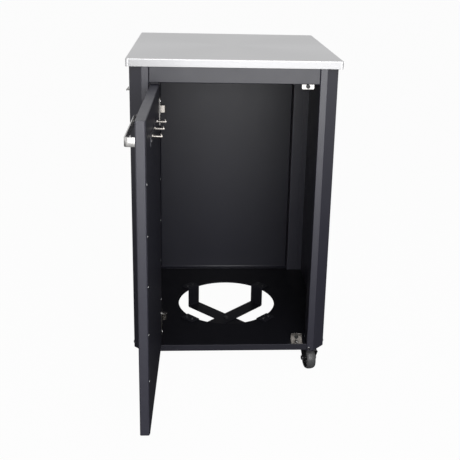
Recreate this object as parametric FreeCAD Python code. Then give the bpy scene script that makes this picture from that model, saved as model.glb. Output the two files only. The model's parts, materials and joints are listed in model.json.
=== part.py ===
"""Grill cart with storage: a sheet-steel cabinet on four casters with a stainless worktop.

Millimetres, +X right, +Y to the back, +Z up. The pieces are modelled with x = 0 in the
middle of the cabinet, y = 0 on the front face of the posts and z = 0 on the ground. At the
end everything moves so that the origin is under the middle of the whole cart's box.
The door stands open, as it does at rest here.
"""
import FreeCAD, Part
import math
import os

V = FreeCAD.Vector
X_AXIS = V(1, 0, 0)
Y_AXIS = V(0, 1, 0)
Z_AXIS = V(0, 0, 1)

# Worktop and overall size
CART_HEIGHT = 975.0
TOP_WIDTH = 600.0
TOP_DEPTH = 640.0
TOP_EDGE = 22.0
TOP_SHEET = 1.5
TOP_OVERHANG = 6.5
TOP_FLANGE = 40.0
TOP_CORNER_R = 6.0
TOP_EDGE_R = 2.5
STIFFENER_WIDTH = 60.0
STIFFENER_SPACING = 260.0
TOP_SCREW_SPAN = 400.0

# Posts: square tubes with the outer corner folded off
POST_FACE = 20.0
POST_CHAMFER = 36.0
POST_WALL = 1.5
POST_BEND_R = 2.5
POST_BOTTOM = 79.0

# Sheet metal of the body
SHEET = 1.5
SHEET_BEND_R = 2.5
SEAT = 0.2
RAIL_HEIGHT = 45.0
RAIL_DEPTH = 25.0
PANEL_FLANGE = 20.0
BACK_INSET = 36.0
BACK_FOOT = 10.0
BACK_BEND_R = 4.5
BACK_SIDE_GAP = 0.8
SIDE_RAIL_LEG = 28.0
BASE_RAIL_LEG = 24.0

# Floor with the tank hole
FLOOR_TOP = 102.0
FLOOR_LIP = 20.0
FLOOR_HEM = 12.0
TANK_HOLE_R = 163.0
TANK_HOLE_RIM = 5.0
TANK_HOLE_Y = 300.0

# Cradle straps under the tank hole
STRAP_WIDTH = 50.0
STRAP_T = 3.0
STRAP_CLEAR = 0.6
STRAP_DROP = 62.0
STRAP_TAB = 36.0
STRAP_BEND_R = 5.0
STRAP_SCREW_OUT = 17.0
STRAP_SCREW_SPAN = 24.0
CRADLE_BOLT_R = 4.0

# Door
DOOR_T = 24.5
DOOR_SIDE_GAP = 3.0
DOOR_TOP_GAP = 4.5
DOOR_FLOOR_GAP = 5.0
DOOR_SKIN = 1.2
DOOR_BEND_R = 3.0
DOOR_RETURN = 16.0
DOOR_INNER_MARGIN = 1.5
DOOR_OPEN_DEG = 91.0
RIVET_ROWS = 5
RIVET_FROM_HINGE = 33.0
RIVET_INSET = 8.0
RIVET_R = 3.0
RIVET_HEAD = 1.0

# Door handle, a flat bar on two blocks
HANDLE_LENGTH = 255.0
HANDLE_HEIGHT = 23.0
HANDLE_BAR_T = 4.0
HANDLE_REACH = 37.0
HANDLE_LEG_T = 8.0
HANDLE_DROP = 76.0

# Hook rail inside the door
HOOK_RAIL_LENGTH = 236.0
HOOK_RAIL_HEIGHT = 26.0
HOOK_RAIL_T = 2.0
HOOK_RAIL_DROP = 78.0
HOOK_PITCH = 80.0
HOOK_WIDTH = 14.0
HOOK_T = 3.0
HOOK_REACH = 27.0
HOOK_TIP = 11.0
HOOK_TIP_DEG = 60.0
HOOK_STEM = 10.0
HOOK_RISE = 8.0

# Hinges: a pin inside the door's edge, held by a cranked arm on the post
HINGE_DROP = 75.0
HINGE_PIN_IN = 7.0
HINGE_PIN_BACK = 5.0
HINGE_PIN_R = 2.0
HINGE_BORE_CLEAR = 0.05
HINGE_EYE_R = 3.4
HINGE_ARM_HEIGHT = 20.0
HINGE_ARM_START = 30.0
HINGE_ARM_REACH = 45.0
HINGE_ARM_WEB = 3.2
HINGE_FOOT_HEIGHT = 60.0
HINGE_FOOT_T = 2.5
HINGE_PLATE_HEIGHT = 80.0
HINGE_PLATE_WIDTH = 26.0
HINGE_PLATE_T = 2.5
HINGE_EAR_T = 3.0
HINGE_EAR_GAP = 1.0
HINGE_SLOT_CLEAR = 0.8

# Magnetic catches that stop the door
CATCH_FROM_SIDE = 29.5
CATCH_WIDTH = 35.0
CATCH_SHEET = 1.5
CATCH_GAP = 0.4
CATCH_MAGNET_R = 6.0
CATCH_MAGNET_T = 3.0
CATCH_TOP_DROP = 18.0
CATCH_FOOT_RISE = 22.0

# Tool hook on the left side
SIDE_HOOK_Y = 285.0
SIDE_HOOK_DROP = 115.0
SIDE_HOOK_REACH = 31.0
SIDE_HOOK_PLATE_HEIGHT = 44.0

# Screws
SCREW_R = 2.5
SCREW_HEAD_R = 4.6
SCREW_HEAD_H = 2.4
SCREW_LENGTH = 9.0
SCREW_CLEAR = 0.1
HEX_ACROSS = 10.0
HEX_HEIGHT = 4.0

# Casters
WHEEL_R = 35.5
WHEEL_WIDTH = 28.0
TYRE_T = 7.0
HUB_BORE_CLEAR = 0.05
AXLE_R = 4.0
FORK_T = 3.0
FORK_GAP = 2.0
FORK_CLEAR = 3.0
FORK_TRAIL = 16.0
FORK_EYE_R = 9.0
FORK_CROWN_R = 21.0
RACE_R = 13.5
RACE_H = 3.5
RACE_GAP = 0.3
KINGPIN_R = 5.0
KINGPIN_HEAD_R = 7.0
KINGPIN_HEAD_H = 2.5
STEM_R = 6.0
STEM_COLLAR_R = 10.0
STEM_LENGTH = 14.0
SOCKET_RISE = 16.0
SOCKET_PLATE = 5.0
CASTER_FROM_SIDE = 40.0
CASTER_FROM_END = 22.0
PEDAL_PIN_R = 2.5
PEDAL_PIN_OUT = 41.0
PEDAL_PIN_DEG = 42.0
PEDAL_T = 3.0
PEDAL_LENGTH = 30.0
PEDAL_SHOE_GAP = 0.4
PEDAL_SHOE_WIDTH = 2.0
CASTER_YAW = {"front_left": -6.0, "front_right": 8.5, "rear_left": 11.0, "rear_right": -9.0}

# Worked out from the sizes above
BODY_WIDTH = TOP_WIDTH - 2 * TOP_OVERHANG
BODY_DEPTH = TOP_DEPTH - 2 * TOP_OVERHANG
HALF_BODY = BODY_WIDTH / 2
POST = POST_FACE + POST_CHAMFER
HALF_OPENING = HALF_BODY - POST
BODY_TOP = CART_HEIGHT - TOP_EDGE
RAIL_BOTTOM = BODY_TOP - RAIL_HEIGHT
BACK_Y = BODY_DEPTH - BACK_INSET
LIP_BOTTOM = FLOOR_TOP - FLOOR_LIP
PANEL_BOTTOM = LIP_BOTTOM
DOOR_LEFT = -HALF_OPENING + DOOR_SIDE_GAP
DOOR_WIDTH = 2 * (HALF_OPENING - DOOR_SIDE_GAP)
DOOR_BOTTOM = FLOOR_TOP + DOOR_FLOOR_GAP
DOOR_TOP = RAIL_BOTTOM - DOOR_TOP_GAP
DOOR_HEIGHT = DOOR_TOP - DOOR_BOTTOM
DOOR_MID = (DOOR_TOP + DOOR_BOTTOM) / 2
HINGE_X = DOOR_LEFT + HINGE_PIN_IN
HINGE_Y = HINGE_PIN_BACK
HINGE_LEVELS = (DOOR_BOTTOM + HINGE_DROP, DOOR_TOP - HINGE_DROP)
RIVET_END = HINGE_DROP + HINGE_PLATE_HEIGHT / 2 + RIVET_FROM_HINGE
RIVET_PITCH = (DOOR_HEIGHT - 2 * RIVET_END) / (RIVET_ROWS - 1)
CATCH_X = HALF_OPENING - CATCH_FROM_SIDE
SIDE_HOOK_Z = BODY_TOP - SIDE_HOOK_DROP
CATCH_FACE_Y = DOOR_T + CATCH_GAP
CATCH_PLATE_Y = CATCH_FACE_Y + CATCH_MAGNET_T
FORK_HALF = WHEEL_WIDTH / 2 + FORK_GAP
CROWN_BOTTOM = 2 * WHEEL_R + FORK_CLEAR
CROWN_TOP = CROWN_BOTTOM + FORK_T
SOCKET_BOTTOM = POST_BOTTOM + SOCKET_RISE
STRAP_TOP = FLOOR_TOP - STRAP_DROP
STRAP_RISER = math.sqrt((TANK_HOLE_R - STRAP_CLEAR) ** 2 - (STRAP_WIDTH / 2) ** 2)


# Basic shapes
def box(x0, x1, y0, y1, z0, z1):
    """A block between two corners."""
    return Part.makeBox(x1 - x0, y1 - y0, z1 - z0, V(x0, y0, z0))


def rod(start, axis, radius, length):
    """A solid cylinder from start along axis."""
    return Part.makeCylinder(radius, length, start, axis)


def prism(points, lift):
    """A polygon's face pushed along lift."""
    corners = [V(*p) for p in points]
    return Part.Face(Part.makePolygon(corners + corners[:1])).extrude(lift)


def turned(outline):
    """A solid of revolution about Z from (radius, height) points."""
    corners = [V(r, 0, z) for r, z in outline]
    return Part.Face(Part.makePolygon(corners + corners[:1])).revolve(V(0, 0, 0), Z_AXIS, 360)


def edges_along(shape, axis):
    """The straight edges of a shape that run along axis."""
    found = []
    for edge in shape.Edges:
        if len(edge.Vertexes) == 2:
            run = edge.Vertexes[1].Point - edge.Vertexes[0].Point
            if abs(run.normalize().dot(axis)) > 0.9999:
                found.append(edge)
    return found


def rounded(shape, axis, radius, keep):
    """A shape with its edges along axis rounded where keep says so of their middle."""
    chosen = []
    for edge in edges_along(shape, axis):
        middle = (edge.Vertexes[0].Point + edge.Vertexes[1].Point) * 0.5
        if keep(middle):
            chosen.append(edge)
    return shape.makeFillet(radius, chosen) if chosen else shape


def joined(shapes):
    """One solid made of touching shapes."""
    whole = shapes[0].fuse(shapes[1:])
    return whole.removeSplitter()


def group(shapes):
    """Separate solids kept together."""
    return Part.makeCompound(shapes)


def placed(shape, move, turn=0.0):
    """A copy turned about Z at the origin and then moved."""
    copy = shape.copy()
    copy.rotate(V(0, 0, 0), Z_AXIS, turn)
    copy.translate(move)
    return copy


def pointed(shape, at, axis):
    """A copy whose own +Z points along axis, moved to at."""
    copy = shape.copy()
    turn = FreeCAD.Rotation(Z_AXIS, axis)
    copy.Placement = FreeCAD.Placement(at, turn).multiply(copy.Placement)
    return copy


def screw(at, axis, length=SCREW_LENGTH):
    """A pan-head screw whose head stands on the surface at the point, along axis."""
    head = Part.makeCylinder(SCREW_HEAD_R, SCREW_HEAD_H)
    head = head.makeFillet(SCREW_HEAD_H * 0.6, [head.Edges[0]])
    shank = Part.makeCylinder(SCREW_R, length, V(0, 0, -length))
    return pointed(head.fuse(shank), at, axis)


def drill(shape, at, axis, depth=SCREW_LENGTH, radius=SCREW_R + SCREW_CLEAR):
    """A shape with a hole for a screw driven in against axis."""
    return shape.cut(rod(at + axis * SCREW_CLEAR, axis * -1, radius, depth + 3 * SCREW_CLEAR))


def hexagon(across, height):
    """A hexagonal prism standing on z = 0."""
    reach = across / math.sqrt(3)
    corners = [(reach * math.cos(math.pi * k / 3), reach * math.sin(math.pi * k / 3), 0) for k in range(6)]
    return prism(corners, V(0, 0, height))


# Posts and their plates
def post_outline(wall):
    """Corners of the post's section, inset by wall, from its outer corner inwards."""
    near = wall
    far = POST - wall
    cut = POST_CHAMFER + wall * math.sqrt(2) - wall
    return [(cut, near), (far, near), (far, far), (near, far), (near, cut)]


def post_prism(side, front, wall, z0, z1):
    """A solid with the post's section inset by wall, at one corner of the cabinet."""
    points = []
    for inward_x, inward_y in post_outline(wall):
        y = inward_y if front else BODY_DEPTH - inward_y
        points.append((side * (HALF_BODY - inward_x), y, z0))
    return prism(points, V(0, 0, z1 - z0))


def post(side, front):
    """One folded corner post, open at both ends."""
    outside = post_prism(side, front, 0, POST_BOTTOM, BODY_TOP)
    outside = outside.makeFillet(POST_BEND_R, edges_along(outside, Z_AXIS))
    return outside.cut(post_prism(side, front, POST_WALL, POST_BOTTOM - 1, BODY_TOP + 1))


CORNERS = {
    "front_left": (-1, True),
    "front_right": (1, True),
    "rear_left": (-1, False),
    "rear_right": (1, False),
}


def caster_point(side, front, z):
    """The swivel axis of one caster, inside the section of its post."""
    y = CASTER_FROM_END if front else BODY_DEPTH - CASTER_FROM_END
    return V(side * (HALF_BODY - CASTER_FROM_SIDE), y, z)


def caster_socket_plates():
    """Thick plates inside the feet of the posts, tapped for the caster stems."""
    plates = []
    for side, front in CORNERS.values():
        top = SOCKET_BOTTOM + SOCKET_PLATE
        plate = post_prism(side, front, POST_WALL + SEAT, SOCKET_BOTTOM, top)
        hole = rod(caster_point(side, front, SOCKET_BOTTOM - 1), Z_AXIS, STEM_R + SCREW_CLEAR, SOCKET_PLATE + 2)
        plates.append(plate.cut(hole))
    return group(plates)


# Worktop
def worktop():
    """A stainless pan: top sheet, folded edges and a return flange that sits on the posts."""
    half = TOP_WIDTH / 2
    front = -TOP_OVERHANG
    back = front + TOP_DEPTH
    pan = box(-half, half, front, back, BODY_TOP, CART_HEIGHT)
    pan = rounded(pan, Z_AXIS, TOP_CORNER_R, lambda p: True)
    rim = [e for e in pan.Edges if all(abs(v.Z - CART_HEIGHT) < 0.01 for v in e.Vertexes)]
    pan = pan.makeFillet(TOP_EDGE_R, rim)
    wall = TOP_SHEET
    hollow = box(-half + wall, half - wall, front + wall, back - wall, BODY_TOP + wall, CART_HEIGHT - wall)
    lap = TOP_FLANGE
    mouth = box(-half + lap, half - lap, front + lap, back - lap, BODY_TOP - 1, BODY_TOP + wall + 1)
    return pan.cut(hollow).cut(mouth)


def worktop_stiffeners():
    """Two flat channels under the top sheet that rest on the side flanges."""
    low = BODY_TOP + TOP_SHEET
    high = CART_HEIGHT - TOP_SHEET
    reach = TOP_WIDTH / 2 - TOP_SHEET - TOP_EDGE_R
    channels = []
    for place in (-0.5, 0.5):
        middle = BODY_DEPTH / 2 + place * STIFFENER_SPACING
        near = middle - STIFFENER_WIDTH / 2
        far = middle + STIFFENER_WIDTH / 2
        body = box(-reach, reach, near, far, low, high)
        space = box(-reach - 1, reach + 1, near + SHEET, far - SHEET, low - 1, high - SHEET)
        channels.append(body.cut(space))
    return group(channels)


# Rails
def front_top_rail():
    """A folded channel between the front posts, with closed ends and rounded front bends."""
    half = HALF_OPENING - SEAT
    body = box(-half, half, 0, RAIL_DEPTH, RAIL_BOTTOM, BODY_TOP)
    bends = [e for e in body.Edges if all(v.Y < 1 for v in e.Vertexes) and any(v.Z < BODY_TOP - 1 for v in e.Vertexes)]
    body = body.makeFillet(SHEET_BEND_R, bends)
    inside = box(-half + SHEET, half - SHEET, SHEET, RAIL_DEPTH + 1, RAIL_BOTTOM + SHEET, BODY_TOP - SHEET)
    rail = body.cut(inside)
    return drill(rail, V(CATCH_X, rail_tab_y(), RAIL_BOTTOM + SHEET + CATCH_SHEET), Z_AXIS)


def rear_top_rail():
    """A channel between the rear posts, behind the back panel."""
    half = HALF_OPENING - SEAT
    near = BACK_Y + SHEET + SEAT
    low = BODY_TOP - SIDE_RAIL_LEG
    body = box(-half, half, near, BODY_DEPTH, low, BODY_TOP)
    inside = box(-half + SHEET, half - SHEET, near + SHEET, BODY_DEPTH + 1, low + SHEET, BODY_TOP - SHEET)
    flange_space = back_flange_space(low - 1, BODY_TOP + 1)
    return body.cut(inside).cut(flange_space)


def back_flange_space(z0, z1):
    """Room for the back panel's side flanges and bends."""
    half = HALF_OPENING - BACK_SIDE_GAP
    thick = BACK_BEND_R + SEAT
    depth = BACK_Y + PANEL_FLANGE + SEAT
    left = box(-half - 1, -half + thick, BACK_Y, depth, z0, z1)
    right = box(half - thick, half + 1, BACK_Y, depth, z0, z1)
    return left.fuse(right)


def side_top_rails():
    """Angles between front and rear posts that carry the worktop's sides."""
    rails = []
    for side in (-1, 1):
        outer = HALF_BODY - SHEET - SEAT
        inner = outer - SIDE_RAIL_LEG
        near = POST + SHEET + 2 * SEAT
        far = BODY_DEPTH - near
        flat = ordered_box(side * inner, side * outer, near, far, BODY_TOP - SHEET, BODY_TOP)
        wall = ordered_box(side * (outer - SHEET), side * outer, near, far, BODY_TOP - SIDE_RAIL_LEG, BODY_TOP)
        rail = joined([flat, wall])
        for at in top_screw_points():
            if at.x * side > 0:
                rail = drill(rail, at, Z_AXIS * -1)
        rails.append(rail)
    return group(rails)


def top_screw_points():
    """Where the worktop's screws bear under the side rails."""
    x = HALF_BODY - SHEET - SEAT - SIDE_RAIL_LEG / 2
    points = []
    for side in (-1, 1):
        for place in (-0.5, 0.5):
            points.append(V(side * x, BODY_DEPTH / 2 + place * TOP_SCREW_SPAN, BODY_TOP - SHEET))
    return points


def ordered_box(xa, xb, y0, y1, z0, z1):
    """A block whose two x values may come in either order."""
    return box(min(xa, xb), max(xa, xb), y0, y1, z0, z1)


def base_side_rails():
    """Angles under the sides of the floor, from post to post."""
    rails = []
    for side in (-1, 1):
        outer = HALF_BODY - SHEET - SEAT
        inner = outer - BASE_RAIL_LEG
        near = POST + SHEET + 2 * SEAT
        far = BODY_DEPTH - near
        top = FLOOR_TOP - SHEET
        flat = ordered_box(side * inner, side * outer, near, far, top - SHEET, top)
        wall = ordered_box(side * (outer - SHEET), side * outer, near, far, LIP_BOTTOM, top)
        rails.append(joined([flat, wall]))
    return group(rails)


# Panels
def side_panel(side):
    """A flush side sheet with flanges folded in against the posts."""
    outer = HALF_BODY
    near = POST + SEAT
    far = BODY_DEPTH - near
    top = BODY_TOP - SEAT
    sheet = ordered_box(side * (outer - PANEL_FLANGE), side * outer, near, far, PANEL_BOTTOM, top)
    sheet = rounded(sheet, Z_AXIS, SHEET_BEND_R, lambda p: abs(p.x) > outer - 1)
    inner_x = side * (outer - SHEET)
    hollow = ordered_box(inner_x, side * (outer - PANEL_FLANGE - 1), near + SHEET, far - SHEET, 0, CART_HEIGHT)
    panel = sheet.cut(hollow)
    if side < 0:
        for at in side_hook_screw_points():
            panel = drill(panel, at, X_AXIS * -1)
    return panel


def back_panel():
    """The back sheet, set in from the rear, with side flanges and a foot on the floor."""
    half = HALF_OPENING - BACK_SIDE_GAP
    top = BODY_TOP - SEAT
    sheet = box(-half, half, BACK_Y, BACK_Y + PANEL_FLANGE, FLOOR_TOP, top)
    sheet = rounded(sheet, Z_AXIS, BACK_BEND_R, lambda p: p.y < BACK_Y + 1)
    hollow = box(-half + SHEET, half - SHEET, BACK_Y + SHEET, BODY_DEPTH, FLOOR_TOP - 1, top + 1)
    hollow = rounded(hollow, Z_AXIS, BACK_BEND_R - SHEET, lambda p: p.y < BACK_Y + SHEET + 1)
    foot = box(-half, half, BACK_Y - BACK_FOOT, BACK_Y + SHEET, FLOOR_TOP, FLOOR_TOP + SHEET)
    return joined([sheet.cut(hollow), foot])


def floor_panel():
    """The floor sheet with its front lip, rear flange, post notches and rimmed tank hole."""
    half = HALF_OPENING - SEAT
    wide = HALF_BODY - SHEET - SEAT
    notch = POST + SHEET + 2 * SEAT
    rear = BACK_Y + SHEET
    low = FLOOR_TOP - SHEET
    sheet = box(-half, half, 0, rear, low, FLOOR_TOP)
    wings = box(-wide, wide, notch, BODY_DEPTH - notch, low, FLOOR_TOP)
    lip = box(-half, half, 0, SHEET, LIP_BOTTOM, FLOOR_TOP)
    hem = box(-half, half, 0, FLOOR_HEM, LIP_BOTTOM, LIP_BOTTOM + SHEET)
    flange = box(-half, half, rear - SHEET, rear, LIP_BOTTOM, FLOOR_TOP)
    floor = joined([sheet, wings, lip, hem, flange])
    floor = rounded(floor, X_AXIS, 1.2, lambda p: p.y < 0.1 and p.z > LIP_BOTTOM - 0.1)
    centre = V(0, TANK_HOLE_Y, FLOOR_TOP - TANK_HOLE_RIM)
    rim = rod(centre, Z_AXIS, TANK_HOLE_R + SHEET, TANK_HOLE_RIM)
    floor = joined([floor, rim]).cut(rod(centre - Z_AXIS, Z_AXIS, TANK_HOLE_R, TANK_HOLE_RIM + 2))
    for at in strap_screw_points():
        floor = drill(floor, at, Z_AXIS)
    return drill(floor, V(CATCH_X, catch_foot_screw_y(), FLOOR_TOP + CATCH_SHEET), Z_AXIS)


# Tank cradle
def strap_profile(top):
    """Side outline of a strap whose run has its upper face at top, as (along, height)."""
    out = STRAP_RISER
    inside = out - STRAP_T
    tab = out + STRAP_TAB - STRAP_T
    high = FLOOR_TOP + STRAP_T
    half = [(tab, high), (inside, high), (inside, top)]
    under = [(out, top - STRAP_T), (out, FLOOR_TOP), (tab, FLOOR_TOP)]
    left = [(-a, z) for a, z in reversed(half)]
    left_under = [(-a, z) for a, z in reversed(under)]
    return half + left + left_under + under


def strap(top, turn):
    """One bent strap of the cradle, turned about the hole's centre."""
    points = [(a, -STRAP_WIDTH / 2, z) for a, z in strap_profile(top)]
    body = prism(points, V(0, STRAP_WIDTH, 0))
    inner = lambda p: abs(abs(p.x) - (STRAP_RISER - STRAP_T)) < 0.1 and abs(p.z - top) < 0.1
    outer = lambda p: abs(abs(p.x) - STRAP_RISER) < 0.1 and abs(p.z - top + STRAP_T) < 0.1
    crest = lambda p: abs(abs(p.x) - (STRAP_RISER - STRAP_T)) < 0.1 and p.z > FLOOR_TOP
    body = rounded(body, Y_AXIS, STRAP_BEND_R, outer)
    body = rounded(body, Y_AXIS, STRAP_BEND_R - STRAP_T, inner)
    body = rounded(body, Y_AXIS, STRAP_T - 0.2, crest)
    body = body.cut(rod(V(0, 0, 0), Z_AXIS, CRADLE_BOLT_R + SCREW_CLEAR, FLOOR_TOP))
    strap_body = placed(body, V(0, TANK_HOLE_Y, 0), turn)
    for at in strap_screw_points():
        strap_body = drill(strap_body, at, Z_AXIS)
    return strap_body


def strap_screw_points():
    """Where the eight strap screws stand on the strap tabs."""
    points = []
    along = STRAP_RISER + STRAP_SCREW_OUT
    for turn in (45, 135, 225, 315):
        angle = math.radians(turn)
        for offset in (-STRAP_SCREW_SPAN / 2, STRAP_SCREW_SPAN / 2):
            x = along * math.cos(angle) - offset * math.sin(angle)
            y = TANK_HOLE_Y + along * math.sin(angle) + offset * math.cos(angle)
            points.append(V(x, y, FLOOR_TOP + STRAP_T))
    return points


def cradle_bolt():
    """The hexagon bolt through the crossing of the two straps, with its nut."""
    length = 2 * STRAP_T + HEX_HEIGHT + 3
    head = hexagon(HEX_ACROSS + 3, HEX_HEIGHT)
    shank = rod(V(0, 0, -length), Z_AXIS, CRADLE_BOLT_R, length)
    bolt = placed(head.fuse(shank), V(0, TANK_HOLE_Y, STRAP_TOP), 15)
    nut = nut_shape(HEX_ACROSS + 3, CRADLE_BOLT_R)
    return group([bolt, placed(nut, V(0, TANK_HOLE_Y, STRAP_TOP - 2 * STRAP_T - HEX_HEIGHT), 5)])


def nut_shape(across, bolt_r):
    """A hexagon nut standing on z = 0 with a clear bore for its bolt."""
    return hexagon(across, HEX_HEIGHT).cut(rod(V(0, 0, -1), Z_AXIS, bolt_r + SCREW_CLEAR, HEX_HEIGHT + 2))


def strap_nuts():
    """The nuts of the strap screws, under the floor."""
    nut = nut_shape(HEX_ACROSS - 1, SCREW_R)
    drop = STRAP_T + SHEET + HEX_HEIGHT
    return group([placed(nut, at - Z_AXIS * drop, at.x) for at in strap_screw_points()])


# Catches
def rail_tab_y():
    """Depth of the screw that holds the top catch to the rail."""
    return CATCH_PLATE_Y - 12


def catch_foot_screw_y():
    """Depth of the screw that holds the bottom catch to the floor."""
    return CATCH_PLATE_Y / 2


def top_catch_bracket():
    """A bent plate that lies in the rail and hangs behind the door's top edge."""
    x0 = CATCH_X - CATCH_WIDTH / 2
    x1 = CATCH_X + CATCH_WIDTH / 2
    back = CATCH_PLATE_Y + CATCH_SHEET
    low = RAIL_BOTTOM + SHEET
    shelf = box(x0, x1, rail_tab_y() - 7, back, low, low + CATCH_SHEET)
    plate = box(x0, x1, CATCH_PLATE_Y, back, RAIL_BOTTOM - CATCH_TOP_DROP, low + CATCH_SHEET)
    plate = rounded(plate, Y_AXIS, 3, lambda p: p.z < RAIL_BOTTOM - 1)
    bracket = joined([shelf, plate])
    bracket = drill(bracket, V(CATCH_X, rail_tab_y(), low + CATCH_SHEET), Z_AXIS)
    return bracket.cut(rod(V(CATCH_X, CATCH_PLATE_Y - 1, catch_levels()[1]), Y_AXIS, SCREW_R + SCREW_CLEAR, 5))


def bottom_catch_bracket():
    """An angle on the floor that stands behind the door's bottom edge."""
    x0 = CATCH_X - CATCH_WIDTH / 2
    x1 = CATCH_X + CATCH_WIDTH / 2
    back = CATCH_PLATE_Y + CATCH_SHEET
    high = FLOOR_TOP + CATCH_FOOT_RISE
    foot = box(x0, x1, 3, back, FLOOR_TOP, FLOOR_TOP + CATCH_SHEET)
    plate = box(x0, x1, CATCH_PLATE_Y, back, FLOOR_TOP, high)
    plate = rounded(plate, Y_AXIS, 3, lambda p: p.z > high - 1)
    bracket = joined([foot, plate])
    bracket = drill(bracket, V(CATCH_X, catch_foot_screw_y(), FLOOR_TOP + CATCH_SHEET), Z_AXIS)
    return bracket.cut(rod(V(CATCH_X, CATCH_PLATE_Y - 1, catch_levels()[0]), Y_AXIS, SCREW_R + SCREW_CLEAR, 5))


def catch_levels():
    """Heights of the bottom and the top magnet."""
    inside = CATCH_MAGNET_R - 0.5
    return (DOOR_BOTTOM + inside, DOOR_TOP - inside)


def catch_magnets():
    """Round magnets on the catch plates, each with a stud through its plate."""
    magnets = []
    for level in catch_levels():
        disc = rod(V(CATCH_X, CATCH_FACE_Y, level), Y_AXIS, CATCH_MAGNET_R, CATCH_MAGNET_T)
        stud = rod(V(CATCH_X, CATCH_PLATE_Y, level), Y_AXIS, SCREW_R, 4)
        magnets.append(disc.fuse(stud))
    return group(magnets)


def bracket_screws():
    """Screws of the two catches and of the hinge arms."""
    screws = [
        screw(V(CATCH_X, rail_tab_y(), RAIL_BOTTOM + SHEET + CATCH_SHEET), Z_AXIS, 6),
        screw(V(CATCH_X, catch_foot_screw_y(), FLOOR_TOP + CATCH_SHEET), Z_AXIS, 6),
    ]
    screws += [screw(at, X_AXIS, 5) for at in hinge_foot_screw_points()]
    return group(screws)


# Hinges
def hinge_foot_screw_points():
    """Where the screws of the hinge arms stand."""
    y = (HINGE_ARM_START + POST) / 2
    x = -HALF_OPENING + HINGE_FOOT_T
    reach = HINGE_FOOT_HEIGHT / 2 - SCREW_HEAD_R - 2
    return [V(x, y, level + place * reach) for level in HINGE_LEVELS for place in (-1, 1)]


def hinge_arm(level):
    """A foot on the post, a cranked body and a tongue that ends in the pin's eye."""
    low = level - HINGE_ARM_HEIGHT / 2
    start = HINGE_ARM_START
    end = POST - 1
    left = -HALF_OPENING
    foot_z = level - HINGE_FOOT_HEIGHT / 2
    foot = box(left, left + HINGE_FOOT_T, start, end, foot_z, foot_z + HINGE_FOOT_HEIGHT)
    foot = rounded(foot, X_AXIS, 4, lambda p: True)
    reach = left + HINGE_ARM_REACH
    crank = [(left, start), (reach - 3, start), (reach, start + 3), (reach, start + 13), (left + 14, end - 2), (left, end - 2)]
    body = prism([(x, y, low) for x, y in crank], V(0, 0, HINGE_ARM_HEIGHT))
    half_web = HINGE_ARM_WEB / 2
    tongue = box(HINGE_X - half_web, HINGE_X + half_web, HINGE_Y, start + 1, low, low + HINGE_ARM_HEIGHT)
    eye = rod(V(HINGE_X, HINGE_Y, low), Z_AXIS, HINGE_EYE_R, HINGE_ARM_HEIGHT)
    arm = joined([foot, body, tongue, eye])
    arm = arm.cut(rod(V(HINGE_X, HINGE_Y, low - 1), Z_AXIS, HINGE_PIN_R + HINGE_BORE_CLEAR, HINGE_ARM_HEIGHT + 2))
    for at in hinge_foot_screw_points():
        arm = drill(arm, at, X_AXIS)
    return arm


def hinge_ear_start():
    """Height of the ears' inner faces above the hinge's middle."""
    return HINGE_ARM_HEIGHT / 2 + HINGE_EAR_GAP


def hinge_ear_end():
    """Height of the ears' outer faces above the hinge's middle."""
    return hinge_ear_start() + HINGE_EAR_T


def hinge_plate_screw_points(level):
    """Where the screws of one door-side hinge plate stand, in the closed door."""
    x = DOOR_LEFT + DOOR_INNER_MARGIN + HINGE_PLATE_WIDTH * 0.6
    y = DOOR_T + HINGE_PLATE_T
    reach = HINGE_PLATE_HEIGHT / 2 - SCREW_HEAD_R - 6
    return [V(x, y, level + place * reach) for place in (-1, 1)]


def hinge_door_plate(level):
    """The door half of a hinge: a plate on the inner face and two ears around the pin."""
    left = DOOR_LEFT + DOOR_INNER_MARGIN
    back = DOOR_T + HINGE_PLATE_T
    half = HINGE_PLATE_HEIGHT / 2
    plate = box(left, left + HINGE_PLATE_WIDTH, DOOR_T, back, level - half, level + half)
    plate = rounded(plate, Y_AXIS, 5, lambda p: True)
    slot_half = hinge_ear_start()
    slot_right = HINGE_X + HINGE_ARM_WEB / 2 + HINGE_SLOT_CLEAR
    slot = box(left - 1, slot_right, DOOR_T - 1, back + 1, level - slot_half, level + slot_half)
    ears = []
    for place in (-1, 1):
        z = level + place * (hinge_ear_start() + HINGE_EAR_T / 2) - HINGE_EAR_T / 2
        right = HINGE_X + HINGE_EYE_R + 3
        ear = box(left + SEAT, right, DOOR_SKIN + SEAT, DOOR_T, z, z + HINGE_EAR_T)
        hole = rod(V(HINGE_X, HINGE_Y, z - 1), Z_AXIS, HINGE_PIN_R + HINGE_BORE_CLEAR, HINGE_EAR_T + 2)
        ears.append(ear.cut(hole))
    whole = joined([plate.cut(slot)] + ears)
    for at in hinge_plate_screw_points(level):
        whole = drill(whole, at, Y_AXIS)
    return whole


def hinge_pin(level):
    """The pin of one hinge, headed at the top."""
    end = hinge_ear_end()
    shaft = rod(V(HINGE_X, HINGE_Y, level - end - 1), Z_AXIS, HINGE_PIN_R, 2 * end + 1)
    head = rod(V(HINGE_X, HINGE_Y, level + end), Z_AXIS, HINGE_PIN_R + 1, 1.5)
    return shaft.fuse(head)


# Door, built closed and then hung open
def hung(shape):
    """A door piece turned about the hinge pins to where the door rests, open."""
    copy = shape.copy()
    copy.rotate(V(HINGE_X, HINGE_Y, 0), Z_AXIS, -DOOR_OPEN_DEG)
    return copy


def hinge_pocket(level):
    """Room in the door's skins for one hinge's ears, pin and tongue."""
    half = hinge_ear_end() + 2
    right = HINGE_X + HINGE_EYE_R + 4
    return box(DOOR_LEFT - 1, right, DOOR_SKIN + SEAT, DOOR_T + 1, level - half, level + half)


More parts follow.
